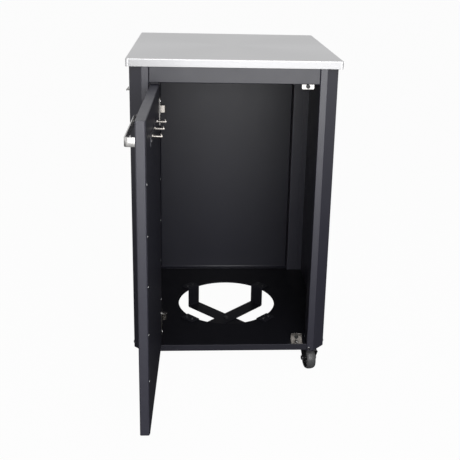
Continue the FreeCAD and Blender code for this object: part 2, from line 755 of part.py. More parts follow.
def door_outer_panel():
    """The door's outer pan: face, four folded edges and a return flange at the back."""
    right = DOOR_LEFT + DOOR_WIDTH
    depth = DOOR_T - DOOR_SKIN
    pan = box(DOOR_LEFT, right, 0, depth, DOOR_BOTTOM, DOOR_TOP)
    pan = rounded(pan, Z_AXIS, DOOR_BEND_R, lambda p: True)
    pan = rounded(pan, X_AXIS, DOOR_SKIN, lambda p: p.y < 0.1)
    wall = DOOR_SKIN
    hollow = box(DOOR_LEFT + wall, right - wall, wall, depth - wall, DOOR_BOTTOM + wall, DOOR_TOP - wall)
    lap = DOOR_RETURN
    mouth = box(DOOR_LEFT + lap, right - lap, wall, depth + 1, DOOR_BOTTOM + lap, DOOR_TOP - lap)
    pan = pan.cut(hollow).cut(mouth)
    for level in HINGE_LEVELS:
        pan = pan.cut(hinge_pocket(level))
        for at in hinge_plate_screw_points(level):
            pan = drill(pan, at, Y_AXIS)
    for at in rivet_points():
        pan = drill(pan, at, Y_AXIS, radius=RIVET_R / 2 + SCREW_CLEAR)
    for at in handle_screw_points():
        pan = drill(pan, at, Y_AXIS, HANDLE_LEG_T)
    return pan


def door_inner_panel():
    """The flat sheet that closes the door's back."""
    margin = DOOR_INNER_MARGIN
    left = DOOR_LEFT + margin
    right = DOOR_LEFT + DOOR_WIDTH - margin
    low = DOOR_BOTTOM + margin
    high = DOOR_TOP - margin
    sheet = box(left, right, DOOR_T - DOOR_SKIN, DOOR_T, low, high)
    sheet = rounded(sheet, Y_AXIS, 4, lambda p: True)
    for level in HINGE_LEVELS:
        sheet = sheet.cut(hinge_pocket(level))
        for at in hinge_plate_screw_points(level):
            sheet = drill(sheet, at, Y_AXIS)
    for at in rivet_points():
        sheet = drill(sheet, at, Y_AXIS, radius=RIVET_R / 2 + SCREW_CLEAR)
    for at in hook_screw_points():
        sheet = drill(sheet, at, Y_AXIS)
    return sheet


def rivet_points():
    """Where the rivets stand on the door's inner face, in two columns."""
    left = DOOR_LEFT + RIVET_INSET
    right = DOOR_LEFT + DOOR_WIDTH - RIVET_INSET
    points = []
    for x in (left, right):
        for row in range(RIVET_ROWS):
            z = DOOR_MID + (row - (RIVET_ROWS - 1) / 2) * RIVET_PITCH
            points.append(V(x, DOOR_T, z))
    return points


def door_rivets():
    """Blind rivets that hold the inner sheet to the return flange."""
    rivets = []
    for at in rivet_points():
        head = Part.makeCylinder(RIVET_R, RIVET_HEAD)
        head = head.makeFillet(RIVET_HEAD * 0.7, [head.Edges[0]])
        shank = Part.makeCylinder(RIVET_R / 2, 4, V(0, 0, -4))
        rivets.append(pointed(head.fuse(shank), at, Y_AXIS))
    return group(rivets)


def handle_level():
    """Height of the handle's middle."""
    return DOOR_TOP - HANDLE_DROP


def handle():
    """A flat bar on two blocks, across the door's outer face."""
    middle = DOOR_LEFT + DOOR_WIDTH / 2
    x0 = middle - HANDLE_LENGTH / 2
    x1 = middle + HANDLE_LENGTH / 2
    z0 = handle_level() - HANDLE_HEIGHT / 2
    z1 = z0 + HANDLE_HEIGHT
    bar = box(x0, x1, -HANDLE_REACH, -HANDLE_REACH + HANDLE_BAR_T, z0, z1)
    near = box(x0, x0 + HANDLE_LEG_T, -HANDLE_REACH, 0, z0, z1)
    far = box(x1 - HANDLE_LEG_T, x1, -HANDLE_REACH, 0, z0, z1)
    whole = joined([bar, near, far])
    whole = rounded(whole, Z_AXIS, 3, lambda p: p.y < -HANDLE_REACH + 1)
    for at in handle_screw_points():
        whole = drill(whole, at, Y_AXIS, HANDLE_LEG_T)
    return whole


def handle_screw_points():
    """Where the handle's screws bear on the inside of the outer skin."""
    middle = DOOR_LEFT + DOOR_WIDTH / 2
    reach = HANDLE_LENGTH / 2 - HANDLE_LEG_T / 2
    return [V(middle + place * reach, DOOR_SKIN, handle_level()) for place in (-1, 1)]


def hook_rail_level():
    """Height of the hook rail's middle."""
    return DOOR_TOP - HOOK_RAIL_DROP


def hook_rail():
    """The backing strip of the hooks, on the door's inner face."""
    middle = DOOR_LEFT + DOOR_WIDTH / 2
    half = HOOK_RAIL_LENGTH / 2
    z0 = hook_rail_level() - HOOK_RAIL_HEIGHT / 2
    strip = box(middle - half, middle + half, DOOR_T, DOOR_T + HOOK_RAIL_T, z0, z0 + HOOK_RAIL_HEIGHT)
    strip = rounded(strip, Y_AXIS, 4, lambda p: True)
    for at in hook_screw_points():
        strip = drill(strip, at, Y_AXIS)
    return strip


def hook_screw_points():
    """Where the two screws of the hook rail stand."""
    middle = DOOR_LEFT + DOOR_WIDTH / 2
    reach = HOOK_RAIL_LENGTH / 2 - 12
    return [V(middle + place * reach, DOOR_T + HOOK_RAIL_T, hook_rail_level()) for place in (-1, 1)]


def hook_shape(reach, width):
    """A bent strip hook: a stem against z-x, an arm along +Y and a tip bent up and back."""
    tip_angle = math.radians(180 - HOOK_TIP_DEG)
    along = V(0, math.cos(tip_angle), math.sin(tip_angle))
    across = V(0, -math.sin(tip_angle), math.cos(tip_angle))
    stem = box(-width / 2, width / 2, 0, HOOK_T, -HOOK_T, HOOK_STEM - HOOK_T)
    arm = box(-width / 2, width / 2, 0, reach, -HOOK_T, 0)
    root = V(0, reach, -HOOK_T)
    corners = [root, root + along * HOOK_TIP, root + along * HOOK_TIP + across * HOOK_T, root + across * HOOK_T]
    tip = prism([(-width / 2, c.y, c.z) for c in corners], V(width, 0, 0))
    return joined([stem, arm, tip])


def door_hooks():
    """The three hooks on the rail."""
    middle = DOOR_LEFT + DOOR_WIDTH / 2
    hook = hook_shape(HOOK_REACH, HOOK_WIDTH)
    y = DOOR_T + HOOK_RAIL_T
    z = hook_rail_level() + HOOK_RISE
    return group([placed(hook, V(middle + place * HOOK_PITCH, y, z)) for place in (-1, 0, 1)])


def handle_screws():
    """Screws inside the door that hold the handle."""
    return group([hung(screw(at, Y_AXIS, HANDLE_LEG_T)) for at in handle_screw_points()])


def door_plate_screws():
    """Screws of the hinge plates and of the hook rail, on the door's inner face."""
    points = list(hook_screw_points())
    for level in HINGE_LEVELS:
        points += hinge_plate_screw_points(level)
    return group([hung(screw(at, Y_AXIS, 6)) for at in points])


# Hook on the left side
def side_hook_screw_points():
    """Where the side hook's two screws stand."""
    x = -HALF_BODY - HOOK_T
    return [V(x, SIDE_HOOK_Y, SIDE_HOOK_Z + rise) for rise in (14, 30)]


def side_hook():
    """A bent strip hook on the left side panel."""
    hook = hook_shape(SIDE_HOOK_REACH, HOOK_WIDTH)
    plate = box(-HOOK_WIDTH / 2, HOOK_WIDTH / 2, 0, HOOK_T, -HOOK_T, SIDE_HOOK_PLATE_HEIGHT - HOOK_T)
    whole = placed(joined([hook, plate]), V(-HALF_BODY, SIDE_HOOK_Y, SIDE_HOOK_Z), 90)
    for at in side_hook_screw_points():
        whole = drill(whole, at, X_AXIS * -1)
    return whole


# Screws of the frame
def frame_screw_places():
    """Point and outward axis of each screw that shows on the outside of the posts."""
    low = LIP_BOTTOM + FLOOR_LIP / 2
    places = []
    for side in (-1, 1):
        for y in (POST - 11, BODY_DEPTH - POST + 11):
            places.append((V(side * HALF_BODY, y, low), X_AXIS * side))
        places.append((V(side * (HALF_OPENING + 6), 0, low - 4), Y_AXIS * -1))
    return places


def outside_screws():
    """Screws through the feet of the posts and those of the side hook."""
    screws = [screw(at, axis, POST_WALL + 4) for at, axis in frame_screw_places()]
    screws += [screw(at, X_AXIS * -1, 7) for at in side_hook_screw_points()]
    return group(screws)


def drilled_post(name):
    """A post with the holes of the screws that pass through it."""
    side, front = CORNERS[name]
    body = post(side, front)
    for at, axis in frame_screw_places():
        same_side = at.x * side > 0
        same_end = (at.y < BODY_DEPTH / 2) == front
        if same_side and same_end:
            body = drill(body, at, axis, POST_WALL + 4)
    if name == "front_left":
        for at in hinge_foot_screw_points():
            body = drill(body, at, X_AXIS, 5)
    return body


def top_screws():
    """Screws that come up through the side rails into the worktop's flange."""
    return group([screw(at, Z_AXIS * -1, 7) for at in top_screw_points()])


def drilled_worktop():
    """The worktop with holes in its flange for the screws."""
    top = worktop()
    for at in top_screw_points():
        top = drill(top, at, Z_AXIS * -1)
    return top


# Casters, built on their swivel axis with the wheel trailing to +Y
def caster_stem():
    """Kingpin, upper race, collar and threaded stud in one turned piece."""
    head_top = CROWN_BOTTOM - RACE_GAP
    head_low = head_top - KINGPIN_HEAD_H
    race_low = CROWN_TOP + RACE_H + RACE_GAP
    race_top = race_low + RACE_H
    stud_top = SOCKET_BOTTOM + SOCKET_PLATE + STEM_LENGTH
    return turned([
        (0, head_low), (KINGPIN_HEAD_R, head_low), (KINGPIN_HEAD_R, head_top), (KINGPIN_R, head_top),
        (KINGPIN_R, race_low), (RACE_R, race_low), (RACE_R - 1.5, race_top), (STEM_COLLAR_R, race_top),
        (STEM_COLLAR_R, SOCKET_BOTTOM), (STEM_R, SOCKET_BOTTOM), (STEM_R, stud_top), (0, stud_top),
    ])


def caster_stems():
    """The four fixed stems in the posts' feet."""
    return group([placed(caster_stem(), caster_point(side, front, 0)) for side, front in CORNERS.values()])


def cheek_outline(braked):
    """Side outline of a fork cheek as (y, z): crown, axle end and, if braked, a pedal ear."""
    rear = FORK_TRAIL + FORK_EYE_R
    points = [(-FORK_CROWN_R + 5, CROWN_TOP), (-FORK_CROWN_R + 5, CROWN_BOTTOM - 4)]
    points += [(FORK_TRAIL - FORK_EYE_R, WHEEL_R), (FORK_TRAIL, WHEEL_R - FORK_EYE_R), (rear, WHEEL_R)]
    if braked:
        y, z = pedal_pin_place()
        points += [(y + 6, z - 6), (y + 6, z + 4), (FORK_CROWN_R + 6, CROWN_TOP)]
    else:
        points += [(FORK_CROWN_R + 2, CROWN_BOTTOM - 4), (FORK_CROWN_R + 2, CROWN_TOP)]
    return points


def caster_fork(braked):
    """A pressed fork: crown, lower race and two cheeks."""
    inner = FORK_HALF
    outer = FORK_HALF + FORK_T
    front = -FORK_CROWN_R + 5
    rear = FORK_CROWN_R + 2
    crown = box(-outer, outer, front, rear, CROWN_BOTTOM, CROWN_TOP)
    race = rod(V(0, 0, CROWN_TOP), Z_AXIS, RACE_R, RACE_H)
    cheeks = []
    for x0 in (-outer, inner):
        points = [(x0, y, z) for y, z in cheek_outline(braked)]
        cheek = prism(points, V(FORK_T, 0, 0))
        cheek = rounded(cheek, X_AXIS, 4, lambda p: p.z < WHEEL_R + 1)
        cheeks.append(cheek)
    fork = joined([crown, race] + cheeks)
    fork = fork.cut(rod(V(0, 0, CROWN_BOTTOM - 1), Z_AXIS, KINGPIN_R + HUB_BORE_CLEAR, FORK_T + RACE_H + 2))
    fork = fork.cut(rod(V(-outer - 1, FORK_TRAIL, WHEEL_R), X_AXIS, AXLE_R + SCREW_CLEAR, 2 * outer + 2))
    if braked:
        y, z = pedal_pin_place()
        fork = fork.cut(rod(V(-outer - 1, y, z), X_AXIS, PEDAL_PIN_R + SCREW_CLEAR, 2 * outer + 2))
    return fork


def caster_axle():
    """The axle bolt with its head and nut outside the cheeks."""
    outer = FORK_HALF + FORK_T
    shaft = rod(V(-outer, FORK_TRAIL, WHEEL_R), X_AXIS, AXLE_R, 2 * outer)
    head = pointed(hexagon(HEX_ACROSS + 3, HEX_HEIGHT), V(outer, FORK_TRAIL, WHEEL_R), X_AXIS)
    nut = pointed(hexagon(HEX_ACROSS + 3, HEX_HEIGHT + 1), V(-outer, FORK_TRAIL, WHEEL_R), X_AXIS * -1)
    return joined([shaft, head, nut])


def at_axle(shape):
    """A turned piece moved from the Z axis onto the wheel's axle."""
    return pointed(shape, V(0, FORK_TRAIL, WHEEL_R), X_AXIS)


def caster_wheel():
    """The moulded wheel centre with a hub, a web and a rim."""
    half = WHEEL_WIDTH / 2
    rim = WHEEL_R - TYRE_T
    bore = AXLE_R + HUB_BORE_CLEAR
    hub = bore + 5
    web = 4.0
    return at_axle(turned([
        (bore, -half - 1), (hub, -half - 1), (hub, -web), (rim - 4, -web), (rim - 4, -half + 1.5), (rim, -half + 1.5),
        (rim, half - 1.5), (rim - 4, half - 1.5), (rim - 4, web), (hub, web), (hub, half + 1), (bore, half + 1),
    ]))


def caster_tyre():
    """The soft tread around the wheel centre, with rounded shoulders and a slight crown."""
    half = WHEEL_WIDTH / 2
    rim = WHEEL_R - TYRE_T
    crown = half * 0.45
    return at_axle(turned([
        (rim, -half + 0.8), (rim + 0.8, -half), (WHEEL_R - 3.5, -half), (WHEEL_R - 1.2, -half + 2.2),
        (WHEEL_R, -crown), (WHEEL_R, crown), (WHEEL_R - 1.2, half - 2.2), (WHEEL_R - 3.5, half),
        (rim + 0.8, half), (rim, half - 0.8),
    ]))


def pedal_pin_place():
    """The pedal pin's place beside the wheel, as (y, z)."""
    angle = math.radians(PEDAL_PIN_DEG)
    return (FORK_TRAIL + PEDAL_PIN_OUT * math.cos(angle), WHEEL_R + PEDAL_PIN_OUT * math.sin(angle))


def brake_pedal():
    """A foot lever on its pin, with a shoe just off the tyre when it is down."""
    y, z = pedal_pin_place()
    half = FORK_HALF - 0.5
    eye_r = PEDAL_PIN_R + 2.0
    bore = PEDAL_PIN_R + HUB_BORE_CLEAR
    eye = rod(V(-half, y, z), X_AXIS, eye_r, 2 * half)
    plate = box(-half, half, y, y + PEDAL_LENGTH, z + eye_r - PEDAL_T, z + eye_r)
    lip = box(-half, half, y + PEDAL_LENGTH - PEDAL_T, y + PEDAL_LENGTH, z + eye_r - PEDAL_T, z + eye_r + 3)
    toe = PEDAL_PIN_OUT - WHEEL_R
    shoe = box(-half, half, -toe, 0, -PEDAL_SHOE_WIDTH / 2, PEDAL_SHOE_WIDTH / 2)
    shoe.rotate(V(0, 0, 0), X_AXIS, PEDAL_PIN_DEG)
    shoe.translate(V(0, y, z))
    pedal = joined([eye, plate, lip, shoe])
    clear = rod(V(-half - 1, FORK_TRAIL, WHEEL_R), X_AXIS, WHEEL_R + PEDAL_SHOE_GAP, 2 * half + 2)
    return pedal.cut(clear).cut(rod(V(-half - 1, y, z), X_AXIS, bore, 2 * half + 2))


def brake_pin():
    """The pedal's pin, riveted over outside the cheeks."""
    y, z = pedal_pin_place()
    outer = FORK_HALF + FORK_T
    shaft = rod(V(-outer, y, z), X_AXIS, PEDAL_PIN_R, 2 * outer)
    ends = [rod(V(x, y, z), X_AXIS, PEDAL_PIN_R + 1.5, 1.2) for x in (-outer - 1.2, outer)]
    return joined([shaft] + ends)


def caster_pieces(name):
    """The moving pieces of one caster, by node name."""
    side, front = CORNERS[name]
    at = caster_point(side, front, 0)
    pieces = {
        "fork": caster_fork(front),
        "axle": caster_axle(),
        "wheel": caster_wheel(),
        "tyre": caster_tyre(),
    }
    if front:
        pieces["brake_pedal"] = brake_pedal()
        pieces["brake_pin"] = brake_pin()
    return {"caster_%s_%s" % (name, key): placed(piece, at, CASTER_YAW[name]) for key, piece in pieces.items()}


def all_nodes():
    """Every node of the cart by name."""
    nodes = {
        "worktop": drilled_worktop(),
        "worktop_stiffeners": worktop_stiffeners(),
        "caster_socket_plates": caster_socket_plates(),
        "front_top_rail": front_top_rail(),
        "rear_top_rail": rear_top_rail(),
        "side_top_rails": side_top_rails(),
        "base_side_rails": base_side_rails(),
        "side_panel_left": side_panel(-1),
        "side_panel_right": side_panel(1),
        "back_panel": back_panel(),
        "floor_panel": floor_panel(),
        "tank_strap_upper": strap(STRAP_TOP, 45),
        "tank_strap_lower": strap(STRAP_TOP - STRAP_T, 135),
        "cradle_bolt": cradle_bolt(),
        "strap_screws": group([screw(at, Z_AXIS) for at in strap_screw_points()]),
        "strap_nuts": strap_nuts(),
        "top_catch_bracket": top_catch_bracket(),
        "bottom_catch_bracket": bottom_catch_bracket(),
        "catch_magnets": catch_magnets(),
        "bracket_screws": bracket_screws(),
        "hinge_arms": group([hinge_arm(level) for level in HINGE_LEVELS]),
        "side_hook": side_hook(),
        "outside_screws": outside_screws(),
        "top_screws": top_screws(),
        "caster_stems": caster_stems(),
        "door_outer_panel": hung(door_outer_panel()),
        "door_inner_panel": hung(door_inner_panel()),
        "door_rivets": hung(door_rivets()),
        "door_plate_screws": door_plate_screws(),
        "handle": hung(handle()),
        "handle_screws": handle_screws(),
        "hook_rail": hung(hook_rail()),
        "door_hooks": hung(door_hooks()),
        "hinge_door_plates": group([hung(hinge_door_plate(level)) for level in HINGE_LEVELS]),
        "hinge_pins": group([hung(hinge_pin(level)) for level in HINGE_LEVELS]),
    }
    for name in CORNERS:
        nodes["post_" + name] = drilled_post(name)
        nodes.update(caster_pieces(name))
    return nodes


def origin_shift(nodes):
    """The move that puts the origin under the middle of the whole cart's box."""
    whole = FreeCAD.BoundBox()
    for shape in nodes.values():
        whole.add(shape.optimalBoundingBox(False, False))
    return V(-(whole.XMin + whole.XMax) / 2, -(whole.YMin + whole.YMax) / 2, -whole.ZMin)


def main():
    """Build every node and write it to its own file."""
    os.makedirs("parts", exist_ok=True)
    nodes = all_nodes()
    shift = origin_shift(nodes)
    for name, shape in nodes.items():
        shape.translate(shift)
        shape.exportStep("parts/%s.step" % name)
        print("%-34s solids %2d valid %s volume %.0f" % (name, len(shape.Solids), shape.isValid(), shape.Volume))
    print("nodes", len(nodes), "shift", [round(v, 4) for v in shift])


main()
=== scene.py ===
import json
import math

import bmesh
import bpy
import numpy as np
from mathutils import Matrix, Vector


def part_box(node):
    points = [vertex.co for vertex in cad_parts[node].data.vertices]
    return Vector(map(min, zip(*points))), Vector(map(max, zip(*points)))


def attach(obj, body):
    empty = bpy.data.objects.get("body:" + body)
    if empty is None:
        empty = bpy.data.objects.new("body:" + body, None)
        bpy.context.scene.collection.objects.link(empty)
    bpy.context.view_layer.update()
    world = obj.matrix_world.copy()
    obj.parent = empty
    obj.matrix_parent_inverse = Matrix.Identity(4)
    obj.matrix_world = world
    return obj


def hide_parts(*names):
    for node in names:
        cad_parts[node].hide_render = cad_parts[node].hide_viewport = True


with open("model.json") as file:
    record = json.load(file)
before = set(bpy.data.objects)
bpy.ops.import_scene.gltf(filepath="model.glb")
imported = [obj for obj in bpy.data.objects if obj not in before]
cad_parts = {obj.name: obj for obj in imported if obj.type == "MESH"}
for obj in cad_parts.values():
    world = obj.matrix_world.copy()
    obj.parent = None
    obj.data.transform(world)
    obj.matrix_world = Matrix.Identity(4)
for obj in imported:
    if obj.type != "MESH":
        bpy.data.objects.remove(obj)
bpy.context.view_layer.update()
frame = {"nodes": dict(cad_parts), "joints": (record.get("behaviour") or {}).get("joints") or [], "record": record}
NODES = frame["nodes"]
JOINTS = {joint["name"]: joint for joint in frame["joints"]}

# Where the cabinet stands in the frame, in metres
TOP_OVERHANG = 0.0065
TOP_LOW, TOP_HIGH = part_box("worktop")
MID_X = (TOP_LOW[0] + TOP_HIGH[0]) / 2
FRONT_Y = TOP_LOW[1] + TOP_OVERHANG
GROUND_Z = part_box("caster_front_left_tyre")[0][2]

# Camera, fitted to the photograph and given from the cabinet's middle, front face and ground
PHOTO_SIZE = 460.0
CAMERA_PLACE = (-0.10437, -2.10011, 1.27384)
CAMERA_FOCAL_PX = 766.99
CAMERA_CENTRE_PX = (245.0, 175.0)
CAMERA_YAW = math.radians(3.7644)
CAMERA_PITCH = math.radians(16.632)
CAMERA_ROLL = math.radians(1.3946)


def make_camera():
    """A camera along yaw and pitch, rolled about its own axis, with a shift for the photo's centre."""
    forward = Vector((
        math.sin(CAMERA_YAW) * math.cos(CAMERA_PITCH),
        math.cos(CAMERA_YAW) * math.cos(CAMERA_PITCH),
        -math.sin(CAMERA_PITCH),
    ))
    right = Vector((math.cos(CAMERA_YAW), -math.sin(CAMERA_YAW), 0))
    up = right.cross(forward)
    turned_right = right * math.cos(CAMERA_ROLL) + up * math.sin(CAMERA_ROLL)
    turned_up = up * math.cos(CAMERA_ROLL) - right * math.sin(CAMERA_ROLL)
    data = bpy.data.cameras.new("photo_camera")
    data.sensor_width = 36.0
    data.lens = CAMERA_FOCAL_PX / PHOTO_SIZE * data.sensor_width
    data.shift_x = (PHOTO_SIZE / 2 - CAMERA_CENTRE_PX[0]) / PHOTO_SIZE
    data.shift_y = (CAMERA_CENTRE_PX[1] - PHOTO_SIZE / 2) / PHOTO_SIZE
    data.clip_start, data.clip_end = 0.05, 50.0
    camera = bpy.data.objects.new("photo_camera", data)
    bpy.context.scene.collection.objects.link(camera)
    turn = Matrix((turned_right, turned_up, -forward)).transposed().to_4x4()
    place = Vector((MID_X, FRONT_Y, GROUND_Z)) + Vector(CAMERA_PLACE)
    camera.matrix_world = Matrix.Translation(place) @ turn
    bpy.context.scene.camera = camera


# Materials: a colour Mix node's sockets are numbered, as their names serve several kinds
MIX_FIRST = 6
MIX_SECOND = 7
MIX_RESULT = 2


class Nodes:
    """A short way to build a material's node tree."""

    def __init__(self, name):
        self.material = bpy.data.materials.new(name)
        self.material.use_nodes = True
        self.tree = self.material.node_tree
        self.shader = self.tree.nodes["Principled BSDF"]

    def add(self, kind, **settings):
        """A new node whose settings are properties or, by input name, socket values."""
        node = self.tree.nodes.new(kind)
        for key, value in settings.items():
            if hasattr(node, key):
                setattr(node, key, value)
            else:
                node.inputs[key.replace("_", " ")].default_value = value
        return node

    def link(self, source, target):
        self.tree.links.new(source, target)

    def place(self, scale=(1, 1, 1)):
        """Object coordinates through a Mapping node."""
        coords = self.add("ShaderNodeTexCoord")
        mapping = self.add("ShaderNodeMapping")
        mapping.inputs["Scale"].default_value = scale
        self.link(coords.outputs["Object"], mapping.inputs["Vector"])
        return mapping.outputs["Vector"]

    def along(self, axis):
        """One of the object coordinates: X, Y or Z."""
        axes = self.add("ShaderNodeSeparateXYZ")
        self.link(self.place(), axes.inputs["Vector"])
        return axes.outputs[axis]

    def noise(self, where, scale, detail=3.0, rough=0.5):
        """Noise between 0 and 1 over the given coordinates."""
        node = self.add("ShaderNodeTexNoise")
        node.inputs["Scale"].default_value = scale
        node.inputs["Detail"].default_value = detail
        node.inputs["Roughness"].default_value = rough
        self.link(where, node.inputs["Vector"])
        return node.outputs["Fac"]

    def span(self, source, low, high, start=0.0, end=1.0):
        """The source's span from start to end carried onto low to high."""
        node = self.add("ShaderNodeMapRange")
        node.inputs["From Min"].default_value = start
        node.inputs["From Max"].default_value = end
        node.inputs["To Min"].default_value = low
        node.inputs["To Max"].default_value = high
        self.link(source, node.inputs["Value"])
        return node.outputs["Result"]

    def colours(self, source, low, high):
        """A colour ramp from low to high."""
        node = self.add("ShaderNodeValToRGB")
        node.color_ramp.elements[0].color = (*low, 1)
        node.color_ramp.elements[1].color = (*high, 1)
        self.link(source, node.inputs["Fac"])
        return node.outputs["Color"]

    def round_edges(self, radius):
        """The surface's normal turned smoothly over every edge, and a mask that is 1 along the edges."""
        sharp, flat = 0.75, 0.99
        bevel = self.add("ShaderNodeBevel", samples=6)
        bevel.inputs["Radius"].default_value = radius
        shape = self.add("ShaderNodeNewGeometry")
        agree = self.add("ShaderNodeVectorMath", operation="DOT_PRODUCT")
        self.link(bevel.outputs["Normal"], agree.inputs[0])
        self.link(shape.outputs["Normal"], agree.inputs[1])
        return bevel.outputs["Normal"], self.span(agree.outputs["Value"], 1.0, 0.0, sharp, flat)

    def near(self, source, middle, reach):
        """1 where the source lies within reach of the middle, and 0 elsewhere."""
        node = self.add("ShaderNodeMath", operation="COMPARE")
        self.link(source, node.inputs[0])
        node.inputs[1].default_value = middle
        node.inputs[2].default_value = reach
        return node.outputs[0]

    def product(self, first, second):
        """Two values multiplied."""
        node = self.add("ShaderNodeMath", operation="MULTIPLY")
        self.link(first, node.inputs[0])
        self.link(second, node.inputs[1])
        return node.outputs[0]

    def scaled(self, source, share):
        """A value times a constant."""
        node = self.add("ShaderNodeMath", operation="MULTIPLY")
        self.link(source, node.inputs[0])
        node.inputs[1].default_value = share
        return node.outputs[0]

    def blend(self, mask, first, second):
        """One colour where the mask is 0 and another where it is 1."""
        node = self.add("ShaderNodeMix", data_type="RGBA")
        self.link(mask, node.inputs[0])
        self.link(first, node.inputs[MIX_FIRST])
        node.inputs[MIX_SECOND].default_value = (*second, 1)
        return node.outputs[MIX_RESULT]

    def bump(self, height, strength, distance, below=None):
        """Fine relief in the shader's normal."""
        node = self.add("ShaderNodeBump")
        node.inputs["Strength"].default_value = strength
        node.inputs["Distance"].default_value = distance
        self.link(height, node.inputs["Height"])
        if below is not None:
            self.link(below, node.inputs["Normal"])
        self.link(node.outputs["Normal"], self.shader.inputs["Normal"])

    def set(self, **values):
        """Constant values on the shader's own sockets."""
        for key, value in values.items():
            self.shader.inputs[key.replace("_", " ")].default_value = value


def tinted(colour, share):
    """A colour made darker or lighter by a share."""
    return tuple(min(c * share, 1.0) for c in colour)


def powder_coat(name, colour, roughness=0.38, specular=0.85, wear=(0.16, 0.16, 0.17), lit_lip=None):
    """Satin powder coat: orange peel, faint clouds, a thin rub along the edges, and perhaps a lip painted lighter,
    with less painted shade than the rest.
    """
    n = Nodes(name)
    where = n.place()
    clouds = n.noise(where, scale=9.0, detail=4.0, rough=0.6)
    coat = n.colours(clouds, tinted(colour, 0.92), tinted(colour, 1.08))
    # The lip's colour is painted light: less shade there than on the rest of the face.
    if lit_lip:
        front = n.span(n.along("Y"), low=1.0, high=0.0, start=lit_lip["front"], end=lit_lip["back"])
        coat = n.blend(front, coat, lit_lip["colour"])
    rounded, edge = n.round_edges(radius=0.0012)
    specks = n.noise(where, scale=70.0, detail=5.0, rough=0.7)
    broken = n.span(specks, low=0.0, high=0.55, start=0.45, end=0.75)
    n.link(n.blend(n.product(edge, broken), coat, wear), n.shader.inputs["Base Color"])
    satin = n.noise(where, scale=30.0, detail=3.0)
    n.link(n.span(satin, roughness - 0.05, roughness + 0.05), n.shader.inputs["Roughness"])
    peel = n.noise(where, scale=900.0, detail=2.0, rough=0.6)
    n.bump(peel, strength=0.12, distance=0.0004, below=rounded)
    n.set(Specular_IOR_Level=specular, Metallic=0.0)
    return n.material


def brushed_steel(name, colour, roughness, apron):
    """Brushed metal: long fine scratches along X, faint wiped patches and a folded apron darkened with painted
    shade against the lamps' reflection.
    """
    n = Nodes(name)
    stretch = 0.012
    scratch_share = 0.12
    lines = n.noise(n.place(scale=(stretch, 1, 1)), scale=1400.0, detail=4.0, rough=0.65)
    patches = n.noise(n.place(), scale=3.0, detail=2.0)
    brushed = n.colours(lines, tinted(colour, 0.93), tinted(colour, 1.07))
    below = n.span(n.along("Z"), low=apron["share"], high=0.0, start=apron["low"], end=apron["high"])
    between = n.near(n.along("X"), MID_X, apron["half_width"])
    n.link(n.blend(n.product(below, between), brushed, apron["colour"]), n.shader.inputs["Base Color"])
    rough = n.add("ShaderNodeMath", operation="MULTIPLY_ADD")
    n.link(lines, rough.inputs[0])
    rough.inputs[1].default_value = scratch_share
    n.link(n.span(patches, roughness - 0.08, roughness - 0.03), rough.inputs[2])
    n.link(rough.outputs[0], n.shader.inputs["Roughness"])
    rounded = n.round_edges(radius=0.001)[0]
    n.bump(lines, strength=0.10, distance=0.0003, below=rounded)
    n.set(Metallic=1.0, Anisotropic=0.5)
    return n.material


def plated_metal(name, colour, roughness=0.25, rim=1.15, rim_radius=0.0006):
    """Nickel, chrome or zinc plate: faint smudges, and a thin band along the edges tinted by the rim share:
    lighter above 1, and painted shade below 1.
    """
    n = Nodes(name)
    where = n.place()
    smudge = n.noise(where, scale=60.0, detail=4.0, rough=0.6)
    plate = n.colours(smudge, tinted(colour, 0.9), tinted(colour, 1.06))
    rounded, edge = n.round_edges(rim_radius)
    n.link(n.blend(edge, plate, tinted(colour, rim)), n.shader.inputs["Base Color"])
    n.link(n.span(smudge, roughness - 0.06, roughness + 0.08), n.shader.inputs["Roughness"])
    n.bump(n.noise(where, scale=700.0, detail=2.0), strength=0.05, distance=0.0002, below=rounded)
    n.set(Metallic=1.0)
    return n.material


def moulded(name, colour, roughness):
    """Moulded plastic or rubber with a fine grain and slight wear."""
    n = Nodes(name)
    where = n.place()
    wear = n.noise(where, scale=45.0, detail=5.0, rough=0.7)
    n.link(n.colours(wear, tinted(colour, 0.8), tinted(colour, 1.25)), n.shader.inputs["Base Color"])
    n.link(n.span(wear, roughness - 0.08, roughness + 0.1), n.shader.inputs["Roughness"])
    n.bump(n.noise(where, scale=1500.0, detail=2.0), strength=0.15, distance=0.0003)
    n.set(Specular_IOR_Level=0.5)
    return n.material


# The worktop's folded apron, darkened with painted shade, and the floor's lip, where less painted shade lies, in
# metres
TOP_CORNER = 0.007
# The apron's darker colour is painted shade that tones down the lamps' reflection on the folded front edge.
TOP_APRON_SHADE = {
    "low": TOP_HIGH[2] - 0.003,
    "high": TOP_HIGH[2] - 0.001,
    "half_width": TOP_HIGH[0] - MID_X - TOP_CORNER,
    "colour": (0.25, 0.25, 0.255),
    "share": 0.85,
}
FLOOR_FRONT_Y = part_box("floor_panel")[0][1]
# The lip's lighter colour lifts the floor's painted shade where the front edge catches the light.
FLOOR_LIT_LIP = {
    "front": FLOOR_FRONT_Y + 0.0015,
    "back": FLOOR_FRONT_Y + 0.004,
    "colour": (0.034, 0.0335, 0.045),
}

